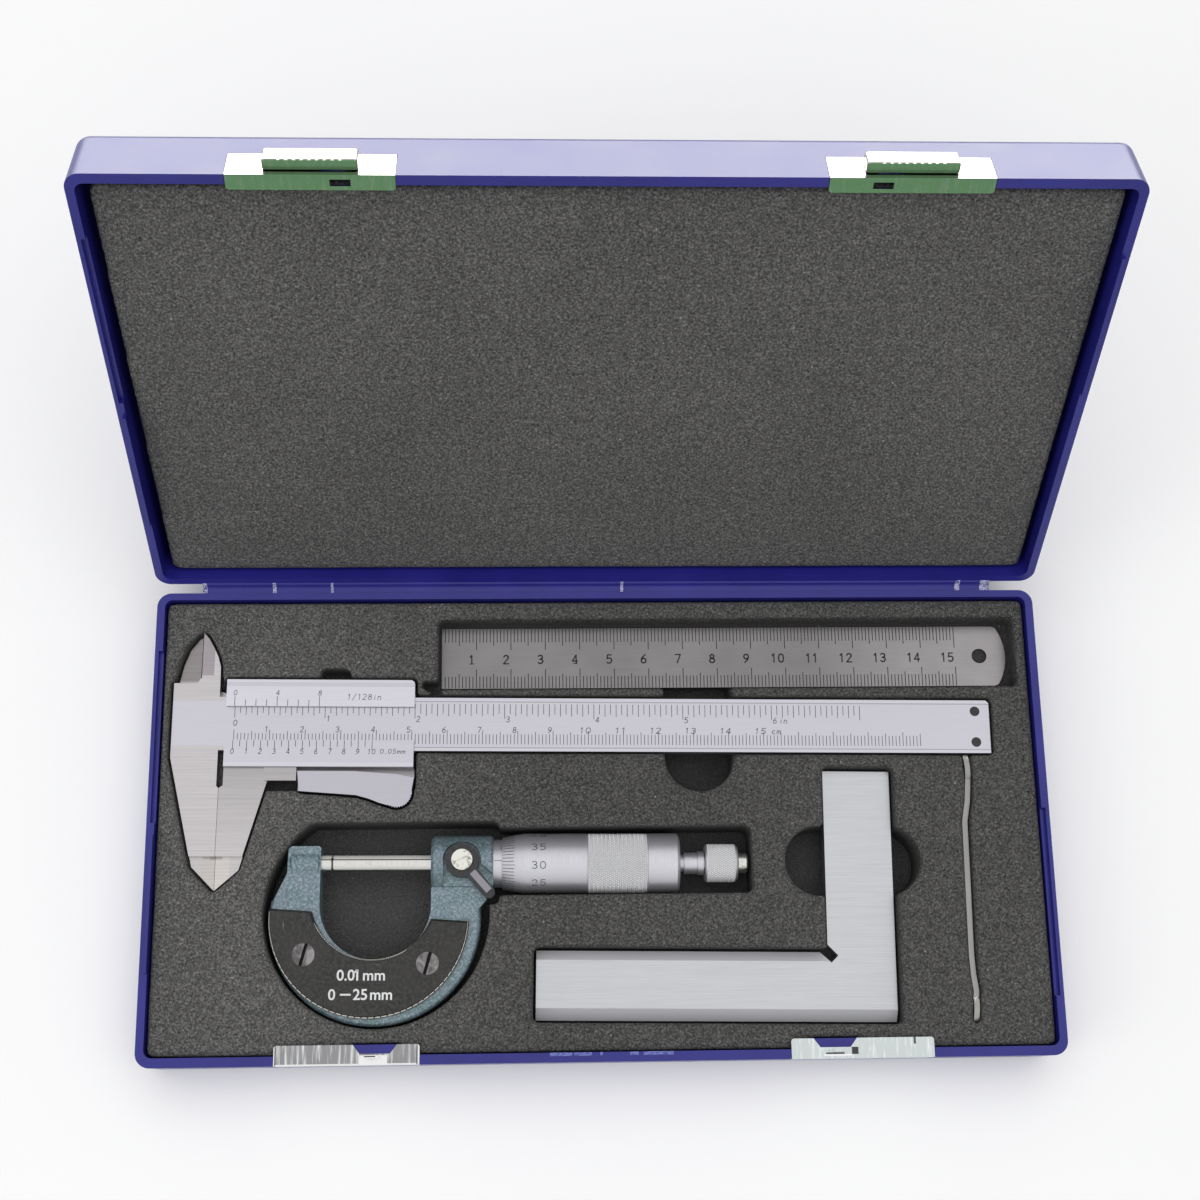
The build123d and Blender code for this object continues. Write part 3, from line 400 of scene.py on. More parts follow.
studio = {
    "roomLight": 0.80,
    "roomGlow": [(0.0, 0.30), (0.25, 0.42), (0.75, 0.85), (1.0, 1.0)],  # from the ground to straight above
    "mirroredGlow": [(0.0, 0.62), (0.30, 0.72), (0.70, 0.90), (0.88, 1.0)],
    "overhead": {"place": (0.10, 0.10, 1.5), "aim": (0, 0.03, 0), "size": (2.2, 1.8), "power": 11.0},
    "left": {"place": (-1.3, -0.5, 0.9), "aim": (0, 0.05, 0.02), "size": (0.8, 0.8), "power": 3.5},
    "behind": {"place": (0.0, 1.1, 0.28), "aim": (0, 0.1, 0.10), "size": (2.2, 0.5), "power": 29.0},
    "floor": {"colour": (0.98, 0.98, 0.98), "half": 3.0, "height": -0.0002},
}


def makeLamp(name, place, aim, size, power):
    lamp = bpy.data.lights.new(name, "AREA")
    lamp.shape = "RECTANGLE"
    lamp.size, lamp.size_y = size
    lamp.energy = power
    holder = bpy.data.objects.new(name, lamp)
    scene.collection.objects.link(holder)
    holder.location = place
    holder.rotation_euler = (Vector(aim) - Vector(place)).to_track_quat("-Z", "Y").to_euler()
    return holder


def addGlow(tree, height, stops, strength):
    glow = addNode(tree, "ShaderNodeBackground")
    tree.links.new(ramp(tree, height, stops), glow.inputs["Color"])
    glow.inputs["Strength"].default_value = strength
    return glow.outputs["Background"]


def makeWorld():
    # white behind the object, brighter overhead than at the horizon for what is reflected
    world = bpy.data.worlds.new("studio")
    scene.world = world
    world.use_nodes = True
    tree = world.node_tree
    tree.nodes.clear()
    height = partsOf(tree, addNode(tree, "ShaderNodeTexCoord").outputs["Generated"])[2]
    rays = addNode(tree, "ShaderNodeLightPath")
    seen = anyOf(tree, [rays.outputs[kind + " Ray"] for kind in ("Is Glossy", "Is Transmission", "Is Camera")])
    mixed = addNode(tree, "ShaderNodeMixShader")
    tree.links.new(seen, mixed.inputs["Fac"])
    tree.links.new(addGlow(tree, height, studio["roomGlow"], studio["roomLight"]), mixed.inputs[1])
    tree.links.new(addGlow(tree, height, studio["mirroredGlow"], 1.0), mixed.inputs[2])
    tree.links.new(mixed.outputs["Shader"], addNode(tree, "ShaderNodeOutputWorld").inputs["Surface"])


def makeFloor():
    half, z = studio["floor"]["half"], studio["floor"]["height"]
    mesh = bpy.data.meshes.new("floor")
    corners = [(-half, -half, z), (half, -half, z), (half, half, z), (-half, half, z)]
    mesh.from_pydata(corners, [], [(0, 1, 2, 3)])
    material, tree, shader = newMaterial("floorPaper")
    shader.inputs["Base Color"].default_value = (*studio["floor"]["colour"], 1)
    shader.inputs["Roughness"].default_value = 0.9
    shader.inputs["Specular IOR Level"].default_value = 0.1
    mesh.materials.append(material)
    floor = bpy.data.objects.new("floor", mesh)
    scene.collection.objects.link(floor)


makeCamera()
makeWorld()
makeFloor()
for lampName in ("overhead", "left", "behind"):
    lampHolder = makeLamp(lampName, **studio[lampName])
    lampHolder.visible_diffuse = lampName != "behind"  # the low white panel is only there to be reflected
    lampHolder.visible_glossy = lampName == "behind"  # metal shows the white room, not the lamps over it
scene.view_settings.view_transform = "Standard"
print("camera and light ready")


# finishes
def bluePlastic(name="bluePlastic"):
    # moulded blue styrene with a fine flow texture and soft scuffs
    material, tree, shader = newMaterial(name)
    points = objectPoints(tree)
    cloud = noiseField(tree, points, 60.0, 4.0)
    fine = noiseField(tree, points, 900.0, 3.0)
    colour = ramp(tree, cloud, [(0.3, (0.014, 0.014, 0.185)), (0.7, (0.021, 0.020, 0.235))])
    tree.links.new(colour, shader.inputs["Base Color"])
    roughnessFrom(tree, shader, cloud, 0.24, 0.38)
    bumpFrom(tree, shader, fine, 0.00002, 0.5)
    shader.inputs["Specular IOR Level"].default_value = 0.45
    return material, tree, shader, colour


def markedPlastic(name, marks, across, above):
    # pale streaks where the runner was trimmed off the rim
    material, tree, shader, colour = bluePlastic(name)
    x, y, z = placeOf(tree)
    rough = noiseField(tree, objectPoints(tree, (1, 3, 3)), 900.0, 3.0, 0.7)
    marked = anyOf(tree, [between(tree, x, low, high) for low, high in marks])
    marked = combine(tree, "MULTIPLY", marked, between(tree, y, *across))
    marked = combine(tree, "MULTIPLY", marked, combine(tree, "GREATER_THAN", z, above))
    patchy = combine(tree, "MULTIPLY", marked, ramp(tree, rough, [(0.40, 0.15), (0.60, 0.80)]))
    tree.links.new(mixColours(tree, patchy, colour, (0.22, 0.27, 0.66)), shader.inputs["Base Color"])
    return material


def foamRubber(name, level, paintedLeftLight):
    # open-cell foam: dark pores, paler skin between them and a few bright cell walls
    material, tree, shader = newMaterial(name)
    points = objectPoints(tree)
    x, _, z = partsOf(tree, points)
    pores = cellField(tree, points, 2100.0)
    coarse = noiseField(tree, points, 1650.0, 4.0, 0.75)
    patch = noiseField(tree, points, 22.0, 2.0)
    skin = ramp(tree, coarse, [(0.34, 0.034 * level), (0.52, darker((0.122, 0.120, 0.117), level)),
                               (0.70, darker((0.292, 0.288, 0.278), level))])
    foam = tinted(tree, skin, ramp(tree, pores, [(0.0, 1.0), (0.55, 0.62)]), 0.75)
    foam = tinted(tree, foam, ramp(tree, patch, [(0.35, 0.87), (0.65, 1.0)]), 0.7)
    # painted light makes the foam paler towards the left end
    side = combine(tree, "ADD", combine(tree, "MULTIPLY", x, -4.0), 0.5)
    foam = tinted(tree, foam, ramp(tree, side, [(0.55, 1.0), (0.85, paintedLeftLight)]))
    # painted shade: the foam is dark and even at the bottom of the deep pockets, and darker low down in them
    height = combine(tree, "MULTIPLY", z, 50.0)
    foam = mixColours(tree, ramp(tree, height, [(0.55, 0.62), (0.72, 0.0)]), foam, 0.085)
    foam = tinted(tree, foam, ramp(tree, height, [(0.12, 0.85), (0.22, 0.62), (0.50, 0.62), (0.80, 1.0)]))
    sparkle = ramp(tree, cellField(tree, points, 260.0), [(0.0, 1.0), (0.05, 0.7), (0.085, 0.0)])
    chance = ramp(tree, noiseField(tree, points, 130.0, 1.0), [(0.5, 0.0), (0.62, 1.0)])
    seldom = combine(tree, "MULTIPLY", sparkle, chance)
    tree.links.new(mixColours(tree, seldom, foam, (0.46, 0.46, 0.42)), shader.inputs["Base Color"])
    shader.inputs["Roughness"].default_value = 0.95
    shader.inputs["Specular IOR Level"].default_value = 0.15
    relief = combine(tree, "SUBTRACT", coarse, combine(tree, "MULTIPLY", pores, 0.7))
    bumpFrom(tree, shader, relief, 0.00045, 0.8)
    return material


def brushedMetal(name, colour, low, high, along="x", turn=0.0, depth=0.000012, stain=0.12, metal=1.0):
    # ground or brushed metal: long fine scratches along one direction and a slight cloudiness
    material, tree, shader = newMaterial(name)
    stretch = {"x": (0.012, 1, 1), "y": (1, 0.012, 1)}[along]
    scratches = noiseField(tree, objectPoints(tree, stretch, (0, 0, -turn)), 5200.0, 3.0, 0.7)
    cloud = noiseField(tree, objectPoints(tree), 45.0, 3.0, 0.6)
    tint = ramp(tree, cloud, [(0.32, darker(colour, 1 - stain)), (0.62, colour)])
    streaks = ramp(tree, scratches, [(0.25, 0.80), (0.6, 1.0)])
    tree.links.new(tinted(tree, tint, streaks, 0.8), shader.inputs["Base Color"])
    shader.inputs["Metallic"].default_value = metal
    roughnessFrom(tree, shader, scratches, low, high)
    bumpFrom(tree, shader, scratches, depth, 0.8)
    return material


def caliperFinish(name, ground, shades, fade=None):
    # satin chrome with ground faces; ground holds areas of (u low, u high, v low, v high), shades holds areas
    # with their tone, mostly painted highlights and shade, and fade is an area of painted shade with the level
    # that it reaches at its far end
    satin, warm = (0.640, 0.625, 0.690), (0.610, 0.585, 0.600)
    material, tree, shader = newMaterial(name)
    lines = objectPoints(tree, (0.012, 1, 1), (0, 0, math.radians(-toolPlaces["caliper"][3])))
    scratches = noiseField(tree, lines, 5200.0, 3.0, 0.7)
    wide = noiseField(tree, lines, 2600.0, 3.0, 0.7)
    u, v = toolPoints(tree, "caliper")
    streaks = ramp(tree, scratches, [(0.25, 0.90), (0.6, 1.0)])
    colour = tinted(tree, satin, streaks, 0.8)
    if ground:
        brushed = tinted(tree, warm, ramp(tree, wide, [(0.36, 0.90), (0.62, 1.03)]))
        brushed = tinted(tree, brushed, streaks, 0.3)
        colour = mixColours(tree, anyOf(tree, [areaOf(tree, u, v, edges) for edges in ground]), colour, brushed)
    for edges, level in shades:
        colour = mixColours(tree, areaOf(tree, u, v, edges), colour, tinted(tree, colour, level))
    if fade:
        edges, level = fade
        fading = ramp(tree, shareOf(tree, v, edges[2], edges[3]), [(0.0, 1.0), (1.0, level)])
        colour = mixColours(tree, areaOf(tree, u, v, edges), colour, tinted(tree, colour, fading))
    tree.links.new(colour, shader.inputs["Base Color"])
    shader.inputs["Metallic"].default_value = 1.0
    roughnessFrom(tree, shader, scratches, 0.28, 0.40)
    bumpFrom(tree, shader, scratches, 0.00001, 0.8)
    return material


def plateFinish(name, bright, dark, direction, streakStretch, streakLevel, areas=()):
    # nickel plate: one face is painted bright, the face that looks along direction carries a painted reflection
    # of a darker room in streaks;
    # areas are ((x low, x high, y low, y high), colour) on the plate
    material, tree, shader = newMaterial(name)
    points = objectPoints(tree)
    streaks = noiseField(tree, objectPoints(tree, streakStretch), 1150.0, 3.0, 0.65, 0.3)
    cloud = noiseField(tree, points, 90.0, 4.0, 0.6, 0.4)
    lit = mixColours(tree, ramp(tree, cloud, [(0.35, 0.0), (0.7, 1.0)]), darker(bright, 0.9), bright)
    dim = mixColours(tree, ramp(tree, streaks, [(0.50, 0.0), (0.70, streakLevel)]), dark, bright)
    colour = mixColours(tree, facing(tree, direction, 0.75), lit, dim)
    x, y, _ = placeOf(tree)
    for edges, shade in areas:
        colour = mixColours(tree, areaOf(tree, x, y, edges), colour, shade)
    tree.links.new(colour, shader.inputs["Base Color"])
    shader.inputs["Metallic"].default_value = 1.0
    roughnessFrom(tree, shader, cloud, 0.12, 0.24)
    bumpFrom(tree, shader, noiseField(tree, points, 1400.0, 2.0), 0.00001, 0.5)
    return material


def hammeredPaint():
    # blue-grey hammered enamel: rounded dimples with painted shade away from their middles, and fine pale
    # glints
    material, tree, shader = newMaterial("hammeredPaint")
    points = objectPoints(tree)
    dimples = cellField(tree, points, 900.0, "SMOOTH_F1")
    glints = noiseField(tree, points, 1500.0, 3.0, 0.65, 0.8)
    cloud = noiseField(tree, points, 160.0, 2.0)
    tint = ramp(tree, cloud, [(0.35, (0.105, 0.180, 0.190)), (0.65, (0.150, 0.205, 0.250))])
    pale = ramp(tree, glints, [(0.46, 0.0), (0.68, 0.65)])
    colour = mixColours(tree, pale, tint, (0.46, 0.55, 0.62))
    rounded = ramp(tree, dimples, [(0.15, 1.0), (0.75, 0.74)])
    tree.links.new(mixColours(tree, 0.8, colour, rounded, "MULTIPLY"), shader.inputs["Base Color"])
    shader.inputs["Metallic"].default_value = 0.25
    shader.inputs["Roughness"].default_value = 0.34
    shader.inputs["Coat Weight"].default_value = 0.35
    shader.inputs["Coat Roughness"].default_value = 0.15
    bumpFrom(tree, shader, dimples, 0.00016, 0.5)
    return material


def scuffedBlack(name, colour, scuff):
    # black lacquer, mottled with dust and wear, with a few fine short scratches
    material, tree, shader = newMaterial(name)
    points = objectPoints(tree)
    cloud = noiseField(tree, points, 130.0, 3.0, 0.6, 0.5)
    fine = noiseField(tree, points, 2600.0, 3.0)
    first = noiseField(tree, objectPoints(tree, (0.18, 1, 1), (0, 0, 0.9)), 700.0, 2.0, 0.5, 0.6)
    second = noiseField(tree, objectPoints(tree, (1, 0.16, 1), (0, 0, 0.25)), 560.0, 2.0, 0.5, 0.6)
    mottle = noiseField(tree, points, 1000.0, 2.0, 0.6)
    dust = anyOf(tree, [ramp(tree, cloud, [(0.40, 0.0), (0.75, 0.5)]),
                        ramp(tree, mottle, [(0.42, 0.0), (0.62, 0.55)])])
    dusty = mixColours(tree, dust, colour, scuff)
    marks = anyOf(tree, [ramp(tree, first, [(0.735, 0.0), (0.80, 0.8)]),
                         ramp(tree, second, [(0.745, 0.0), (0.81, 0.8)])])
    tree.links.new(mixColours(tree, marks, dusty, (0.20, 0.19, 0.17)), shader.inputs["Base Color"])
    roughnessFrom(tree, shader, cloud, 0.36, 0.52)
    bumpFrom(tree, shader, fine, 0.00003, 0.6)
    return material


def wornScrew(name, bright, dark, scale, low, high, slotHeight=0.0):
    # turned screw head: dull plating mottled dark and bright, and painted shade in the slot below slotHeight
    material, tree, shader = newMaterial(name)
    points = objectPoints(tree)
    marks = noiseField(tree, points, scale, 3.0, 0.55, 1.2)
    fine = noiseField(tree, points, 1600.0, 2.0)
    plated = ramp(tree, marks, [(low, dark), (high, bright)])
    # painted shade: near black in the slot, below slotHeight
    slotShade = combine(tree, "LESS_THAN", placeOf(tree)[2], slotHeight)
    tree.links.new(mixColours(tree, slotShade, plated, 0.012), shader.inputs["Base Color"])
    shader.inputs["Metallic"].default_value = 0.9
    roughnessFrom(tree, shader, marks, 0.42, 0.20)
    bumpFrom(tree, shader, fine, 0.00001, 0.5)
    return material


def leverFinish(name, highlight):
    # black lever with a painted highlight in grey along the arm
    material = scuffedBlack(name, (0.014, 0.014, 0.016), (0.05, 0.05, 0.055))
    tree, shader, before = shaderOf(material)
    (hubU, hubV), (tipU, tipV), half = highlight["hub"], highlight["tip"], highlight["width"] / 2
    u, v = toolPoints(tree, "micrometer")
    across, up = combine(tree, "SUBTRACT", u, hubU), combine(tree, "SUBTRACT", v, hubV)
    length = math.hypot(tipU - hubU, tipV - hubV)
    du, dv = (tipU - hubU) / length, (tipV - hubV) / length
    along = combine(tree, "ADD", combine(tree, "MULTIPLY", across, du), combine(tree, "MULTIPLY", up, dv))
    aside = combine(tree, "SUBTRACT", combine(tree, "MULTIPLY", across, dv), combine(tree, "MULTIPLY", up, du))
    strip = areaOf(tree, along, aside, (highlight["start"], highlight["end"], -half, half))
    tree.links.new(mixColours(tree, strip, before, highlight["colour"]), shader.inputs["Base Color"])
    return material


def knurledMetal(name, colour, crest, depth):
    # satin chrome knurl: painted shade in the grooves below the crest radius and a painted highlight on the
    # crests
    material, tree, shader = newMaterial(name)
    across = toolPoints(tree, "micrometer")[1]
    rise = combine(tree, "SUBTRACT", placeOf(tree)[2], toolPlaces["micrometer"][2])
    squares = [combine(tree, "MULTIPLY", leg, leg) for leg in (across, rise)]
    radius = combine(tree, "POWER", combine(tree, "ADD", *squares), 0.5)
    shade = ramp(tree, shareOf(tree, radius, crest - depth, crest), [(0.12, 0.62), (0.60, 0.96), (0.90, 1.06)])
    tree.links.new(tinted(tree, colour, shade), shader.inputs["Base Color"])
    shader.inputs["Metallic"].default_value = 0.35
    shader.inputs["Roughness"].default_value = 0.46
    return material


def lined(material, low, high, matt):
    # painted reflection of a polished round bar: a dark line along its far side and a pale band beyond it
    tree, shader, before = shaderOf(material)
    side = partsOf(tree, facingOf(tree))[1]
    beyond = combine(tree, "MULTIPLY", between(tree, side, high, 0.9), matt)
    tree.links.new(mixColours(tree, between(tree, side, low, high), before, 0.10), shader.inputs["Base Color"])
    tree.links.new(combine(tree, "SUBTRACT", 1.0, beyond), shader.inputs["Metallic"])
    return material


def bevelled(material, colour):
    # ground bevels look matt beside the lapped faces, and their grey is painted light: where the surface is
    # neither flat nor upright
    tree, shader, before = shaderOf(material)
    slope = between(tree, partsOf(tree, facingOf(tree))[2], 0.30, 0.97)
    tree.links.new(mixColours(tree, slope, before, colour), shader.inputs["Base Color"])
    matt = combine(tree, "MULTIPLY", slope, 0.9)
    tree.links.new(combine(tree, "SUBTRACT", 1.0, matt), shader.inputs["Metallic"])
    return material


def fadedAlong(material, start, end, gain):
    # painted light: the steel turns brighter by the gain from one place along it to another
    tree, shader, before = shaderOf(material)
    share = shareOf(tree, partsOf(tree, objectPoints(tree))[0], start, end)
    brighter = tinted(tree, before, ramp(tree, share, [(0.0, 1.0 / gain), (1.0, 1.0)]))
    tree.links.new(tinted(tree, brighter, gain), shader.inputs["Base Color"])
    return material


def plainPaint(name, colour, roughness, grain, depth=0.00002):
    material, tree, shader = newMaterial(name)
    points = objectPoints(tree)
    fine = noiseField(tree, points, grain, 3.0)
    cloud = noiseField(tree, points, 80.0, 3.0)
    tint = ramp(tree, cloud, [(0.3, darker(colour, 0.85)), (0.7, colour)])
    tree.links.new(tint, shader.inputs["Base Color"])
    roughnessFrom(tree, shader, cloud, roughness * 0.9, roughness * 1.15)
    bumpFrom(tree, shader, fine, depth, 0.6)
    return material


# where the runner was trimmed off the base's front rim, in millimetres
gateMarks = {
    "marks": [(-15.2, -9.2), (-8.6, -3.9), (-1.6, -1.0), (6.4, 8.7), (10.0, 18.2)],
    "across": (-64.3, -63.3),
    "above": 18.0,
}

# painted highlights on the rims, painted shade in the slots and at the ends of the keeper plates, and pale
# patches with dark spots
keeperAreas = {
    "left": [
        ((-89.3, -88.9, -70, -60), 0.80), ((-50.7, -50.1, -70, -60), 0.80),
        ((-89.3, -50.1, -66.1, -65.55), 0.80),
        ((-88.9, -88.6, -65.9, -61), 0.12), ((-51.0, -50.7, -65.9, -61), 0.12),
        ((-66.3, -58.9, -65.9, -63.4), 0.86), ((-64.6, -61.6, -64.0, -63.7), 0.04),
    ],
    "right": [
        ((59.6, 64.6, -64.8, -64.4), 0.04), ((66.6, 68.4, -64.9, -63.0), 0.07),
        ((83.6, 84.2, -62.4, -60.0), 0.10), ((59.0, 66.6, -65.3, -64.9), 0.9),
    ],
}

# faces of the caliper that were ground after plating, painted highlights and shade on its edges and facets, and
# tones of its tips
caliperAreas = {
    "beamGround": [(-30.0, 0.06, 6.55, 40.0), (-30.0, 0.06, -60.0, -6.5)],
    "beamShades": [
        # painted shade line and painted highlight on the rim along the back edge, then along the front edge
        ((0.06, 230.0, 6.45, 6.75), 0.66), ((0.06, 230.0, 6.75, 9.0), 1.05),
        ((0.06, 230.0, -6.85, -6.55), 0.66), ((0.06, 230.0, -9.0, -6.85), 1.05),
        # painted shade on the facet of the inside jaw, and a painted shadow line at its edge
        ((-11.0, -6.4, 13.9, 30.0), (0.66, 0.62, 0.64)), ((-10.25, -9.75, 13.0, 24.0), 0.25),
        # ground tip of the outside jaw, with a shadow where it starts
        ((-7.5, -3.4, -47.6, -37.7), (0.98, 0.97, 0.91)), ((-7.0, -3.4, -38.3, -37.7), 0.78),
        ((-5.0, -3.4, -38.6, -37.7), 0.75),
    ],
    "sliderGround": [(-30.0, 60.0, -60.0, -12.62), (-30.0, -2.5, 5.2, 30.0)],
    "sliderShades": [
        # upper plate made brighter, its step darker and a painted highlight on its rim, then a painted
        # highlight on the rim of the lower plate and a painted shadow line under it
        ((-2.5, 60.0, 4.7, 10.6), 1.13), ((-2.5, 60.0, 10.6, 11.8), 0.98), ((-2.5, 60.0, 11.8, 13.0), 1.11),
        ((-2.5, 60.0, -12.4, -11.3), 1.09), ((-2.5, 60.0, -12.62, -12.40), 0.50),
        # painted shade on the facet of the inside jaw, and the ground tip of the outside jaw with a painted
        # shadow where it starts
        ((-20.0, -10.2, 12.45, 30.0), (0.52, 0.50, 0.49)), ((-3.6, 0.4, -50.0, -37.7), (1.10, 1.09, 1.01)),
        ((-3.6, -1.6, -38.4, -37.7), 0.68),
    ],
    # painted shade: the moving jaw turns darker towards the slider
    "sliderFade": ((-3.5, 60.0, -36.0, -12.62), 0.77),
    "plainShades": [((-30.0, 230.0, -60.0, -10.0), 0.86)],
}

# strip of the lock lever's arm that carries a painted highlight
leverHighlight = {"hub": (36.4, 0.2), "tip": (44.9, -9.4), "width": 1.9, "start": 4.4, "end": 11.4,
             "colour": (0.27, 0.26, 0.29)}

caseBlue = bluePlastic()[0]
baseBlue = markedPlastic("basePlastic", **gateMarks)
foamFinish = foamRubber("foamRubber", 1.0, 1.35)
# painted light: the lid's foam is painted 1.42 times paler than the base's
lidFoamFinish = foamRubber("lidFoamRubber", 1.42, 1.0)
# the two keeper plates have different painted reflections of the room
keeperLeft = plateFinish("keeperLeft", (0.82, 0.83, 0.82), (0.30, 0.30, 0.31), (0, 0, 1), (1, 0.06, 1), 1.0,
                         keeperAreas["left"])
keeperRight = plateFinish("keeperRight", (0.84, 0.88, 0.88), (0.62, 0.67, 0.67), (0, 0, 1), (1, 0.10, 1), 1.0,
                          keeperAreas["right"])
# painted reflection: the latch plates and tabs show a green room on the faces that look forward and up
latchNickel = plateFinish("latchNickel", (0.46, 0.45, 0.43), (0.15, 0.30, 0.15), (0, -0.883, 0.469),
                          (1, 0.12, 0.12), 0.22)
beamSteel = caliperFinish("beamSteel", caliperAreas["beamGround"], caliperAreas["beamShades"])
sliderSteel = caliperFinish("sliderSteel", caliperAreas["sliderGround"], caliperAreas["sliderShades"],
                            caliperAreas["sliderFade"])
caliperSteel = caliperFinish("caliperSatin", [], caliperAreas["plainShades"])
brass = brushedMetal("gibBrass", (0.72, 0.55, 0.28), 0.25, 0.4)
darkSteel = plainPaint("darkSteel", (0.02, 0.02, 0.022), 0.35, 900.0)
frameEnamel = hammeredPaint()
coverBlack = scuffedBlack("coverBlack", (0.008, 0.0075, 0.007), (0.050, 0.048, 0.044))
coverScrewSteel = wornScrew("coverScrewSteel", (0.31, 0.295, 0.30), (0.12, 0.11, 0.115), 330.0, 0.36, 0.62,
                            15.8)
brightScrew = wornScrew("brightScrew", (0.80, 0.80, 0.74), (0.24, 0.23, 0.18), 420.0, 0.34, 0.50)
satinChrome = brushedMetal("satinChrome", (0.70, 0.70, 0.745), 0.40, 0.48, "y", depth=0.000006, stain=0.04,
                           metal=0.82)
knurlChrome = knurledMetal("knurlChrome", (0.80, 0.80, 0.82), 8.4, 0.34)
knobChrome = knurledMetal("knobChrome", (0.83, 0.83, 0.85), 5.4, 0.30)
groundSteel = brushedMetal("groundSteel", (0.76, 0.75, 0.72), 0.16, 0.26, "y", depth=0.000003, stain=0.05)
groundSteel = lined(groundSteel, 0.31, 0.42, 0.85)
leverBlack = leverFinish("leverBlack", leverHighlight)
ruleSteel = brushedMetal("ruleSteel", (0.320, 0.305, 0.312), 0.32, 0.46, depth=0.00001, stain=0.14)
ruleSteel = fadedAlong(ruleSteel, 0.060, 0.120, 1.52)
squareSteel = brushedMetal("squareSteel", (0.640, 0.650, 0.680), 0.30, 0.40, turn=math.radians(-1.0),
                           depth=0.000006, stain=0.03)
squareSteel = bevelled(squareSteel, (0.56, 0.56, 0.59))
spannerSteel = brushedMetal("spannerSteel", (0.40, 0.395, 0.375), 0.28, 0.45, "y", depth=0.00001)
markBlack = plainPaint("markBlack", (0.018, 0.018, 0.020), 0.5, 1500.0, 0.000005)
rubbedEdgeHighlight = plainPaint("rubbedEdgeHighlight", (0.55, 0.54, 0.49), 0.4, 1500.0, 0.000005)
markWhite = plainPaint("markWhite", (0.78, 0.79, 0.79), 0.5, 1500.0, 0.000005)

dress(caseBlue, "lid_shell", "hinge_strip")
dress(baseBlue, "base_shell")
dress(keeperLeft, "keeper_left")
dress(keeperRight, "keeper_right")
dress(latchNickel, "latch_plate_left", "latch_plate_right", "latch_slider_left", "latch_slider_right")
dress(foamFinish, "base_foam", "foam_backing")
dress(lidFoamFinish, "lid_foam")
dress(beamSteel, "caliper_beam")
dress(sliderSteel, "caliper_slider")
dress(caliperSteel, "depth_rod", "end_stop", "lever_pin", "thumb_lever")
dress(brass, "caliper_gib")
dress(darkSteel, "end_stop_screws")
dress(frameEnamel, "micrometer_frame")
dress(coverBlack, "front_cover", "back_cover")
dress(coverScrewSteel, "cover_screws")
dress(brightScrew, "lock_screw", "ratchet_screw")
dress(satinChrome, "sleeve", "thimble", "ratchet_stem", "ratchet_knob", "adjusting_nut")
dress(groundSteel, "spindle", "anvil")
dress(leverBlack, "lock_lever")
dress(ruleSteel, "steel_rule")
dress(squareSteel, "square")
dress(spannerSteel, "spanner")
print("finishes ready")


# foam
foamCuts = {
    "fitted_foam": {"node": "base_foam", "body": "base", "voxel": 0.00075, "waves": 0.12, "finish": foamFinish},
    "lid_pad": {"node": "lid_foam", "body": "lid", "voxel": 0.0015, "waves": 0.20, "finish": lidFoamFinish},
}
foamFeel = {"fill": 0.9, "relax": 2, "inset": 0.6, "depth": 0.6,
            "ripples": [(0.09, 0.8), (0.45, 0.35), (1.3, 0.2)]}  # pitch and share of each wave in the skin
backingShape = {"halfWidth": 123.5, "front": -63.1, "back": 63.7, "low": 1.65, "high": 2.55, "cell": 3.0,
                "unevenness": 0.05}


def makeFoam(name, cut):
    # the cut block remeshed, with softened edges and a slightly wavy skin
    work = bmesh.new()
    work.from_mesh(nodes[cut["node"]].data)
    bmesh.ops.remove_doubles(work, verts=work.verts, dist=1e-6)
    mesh = bpy.data.meshes.new(name)
    work.to_mesh(mesh)
    work.free()
    piece = bpy.data.objects.new(name, mesh)
    scene.collection.objects.link(piece)
    remesh = piece.modifiers.new("remesh", "REMESH")
    remesh.mode = "VOXEL"
    remesh.voxel_size = cut["voxel"]
    relax = piece.modifiers.new("relax", "SMOOTH")
    relax.factor, relax.iterations = 0.5, foamFeel["relax"]
    graph = bpy.context.evaluated_depsgraph_get()
    final = bpy.data.meshes.new_from_object(piece.evaluated_get(graph))
    piece.modifiers.clear()
    piece.data = final
    final.name = name
    count = len(final.vertices)
    places, normals = np.empty(count * 3), np.empty(count * 3)
    final.vertices.foreach_get("co", places)
    final.vertices.foreach_get("normal", normals)
    places, normals = places.reshape(-1, 3), normals.reshape(-1, 3)
    swell = np.empty(count)
    for index, place in enumerate(places / milli):
        spot = Vector(place)
        swell[index] = sum(noise.noise(spot * pitch) * share for pitch, share in foamFeel["ripples"])
    sunk = (foamFeel["inset"] + swell) * foamFeel["depth"] * cut["waves"] * milli
    places -= normals * sunk[:, None]
    final.vertices.foreach_set("co", places.ravel())
    final.update()
    final.shade_smooth()
    final.materials.clear()
    final.materials.append(cut["finish"])
    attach(piece, cut["body"])
    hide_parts(cut["node"])
    print(name, count, "points")


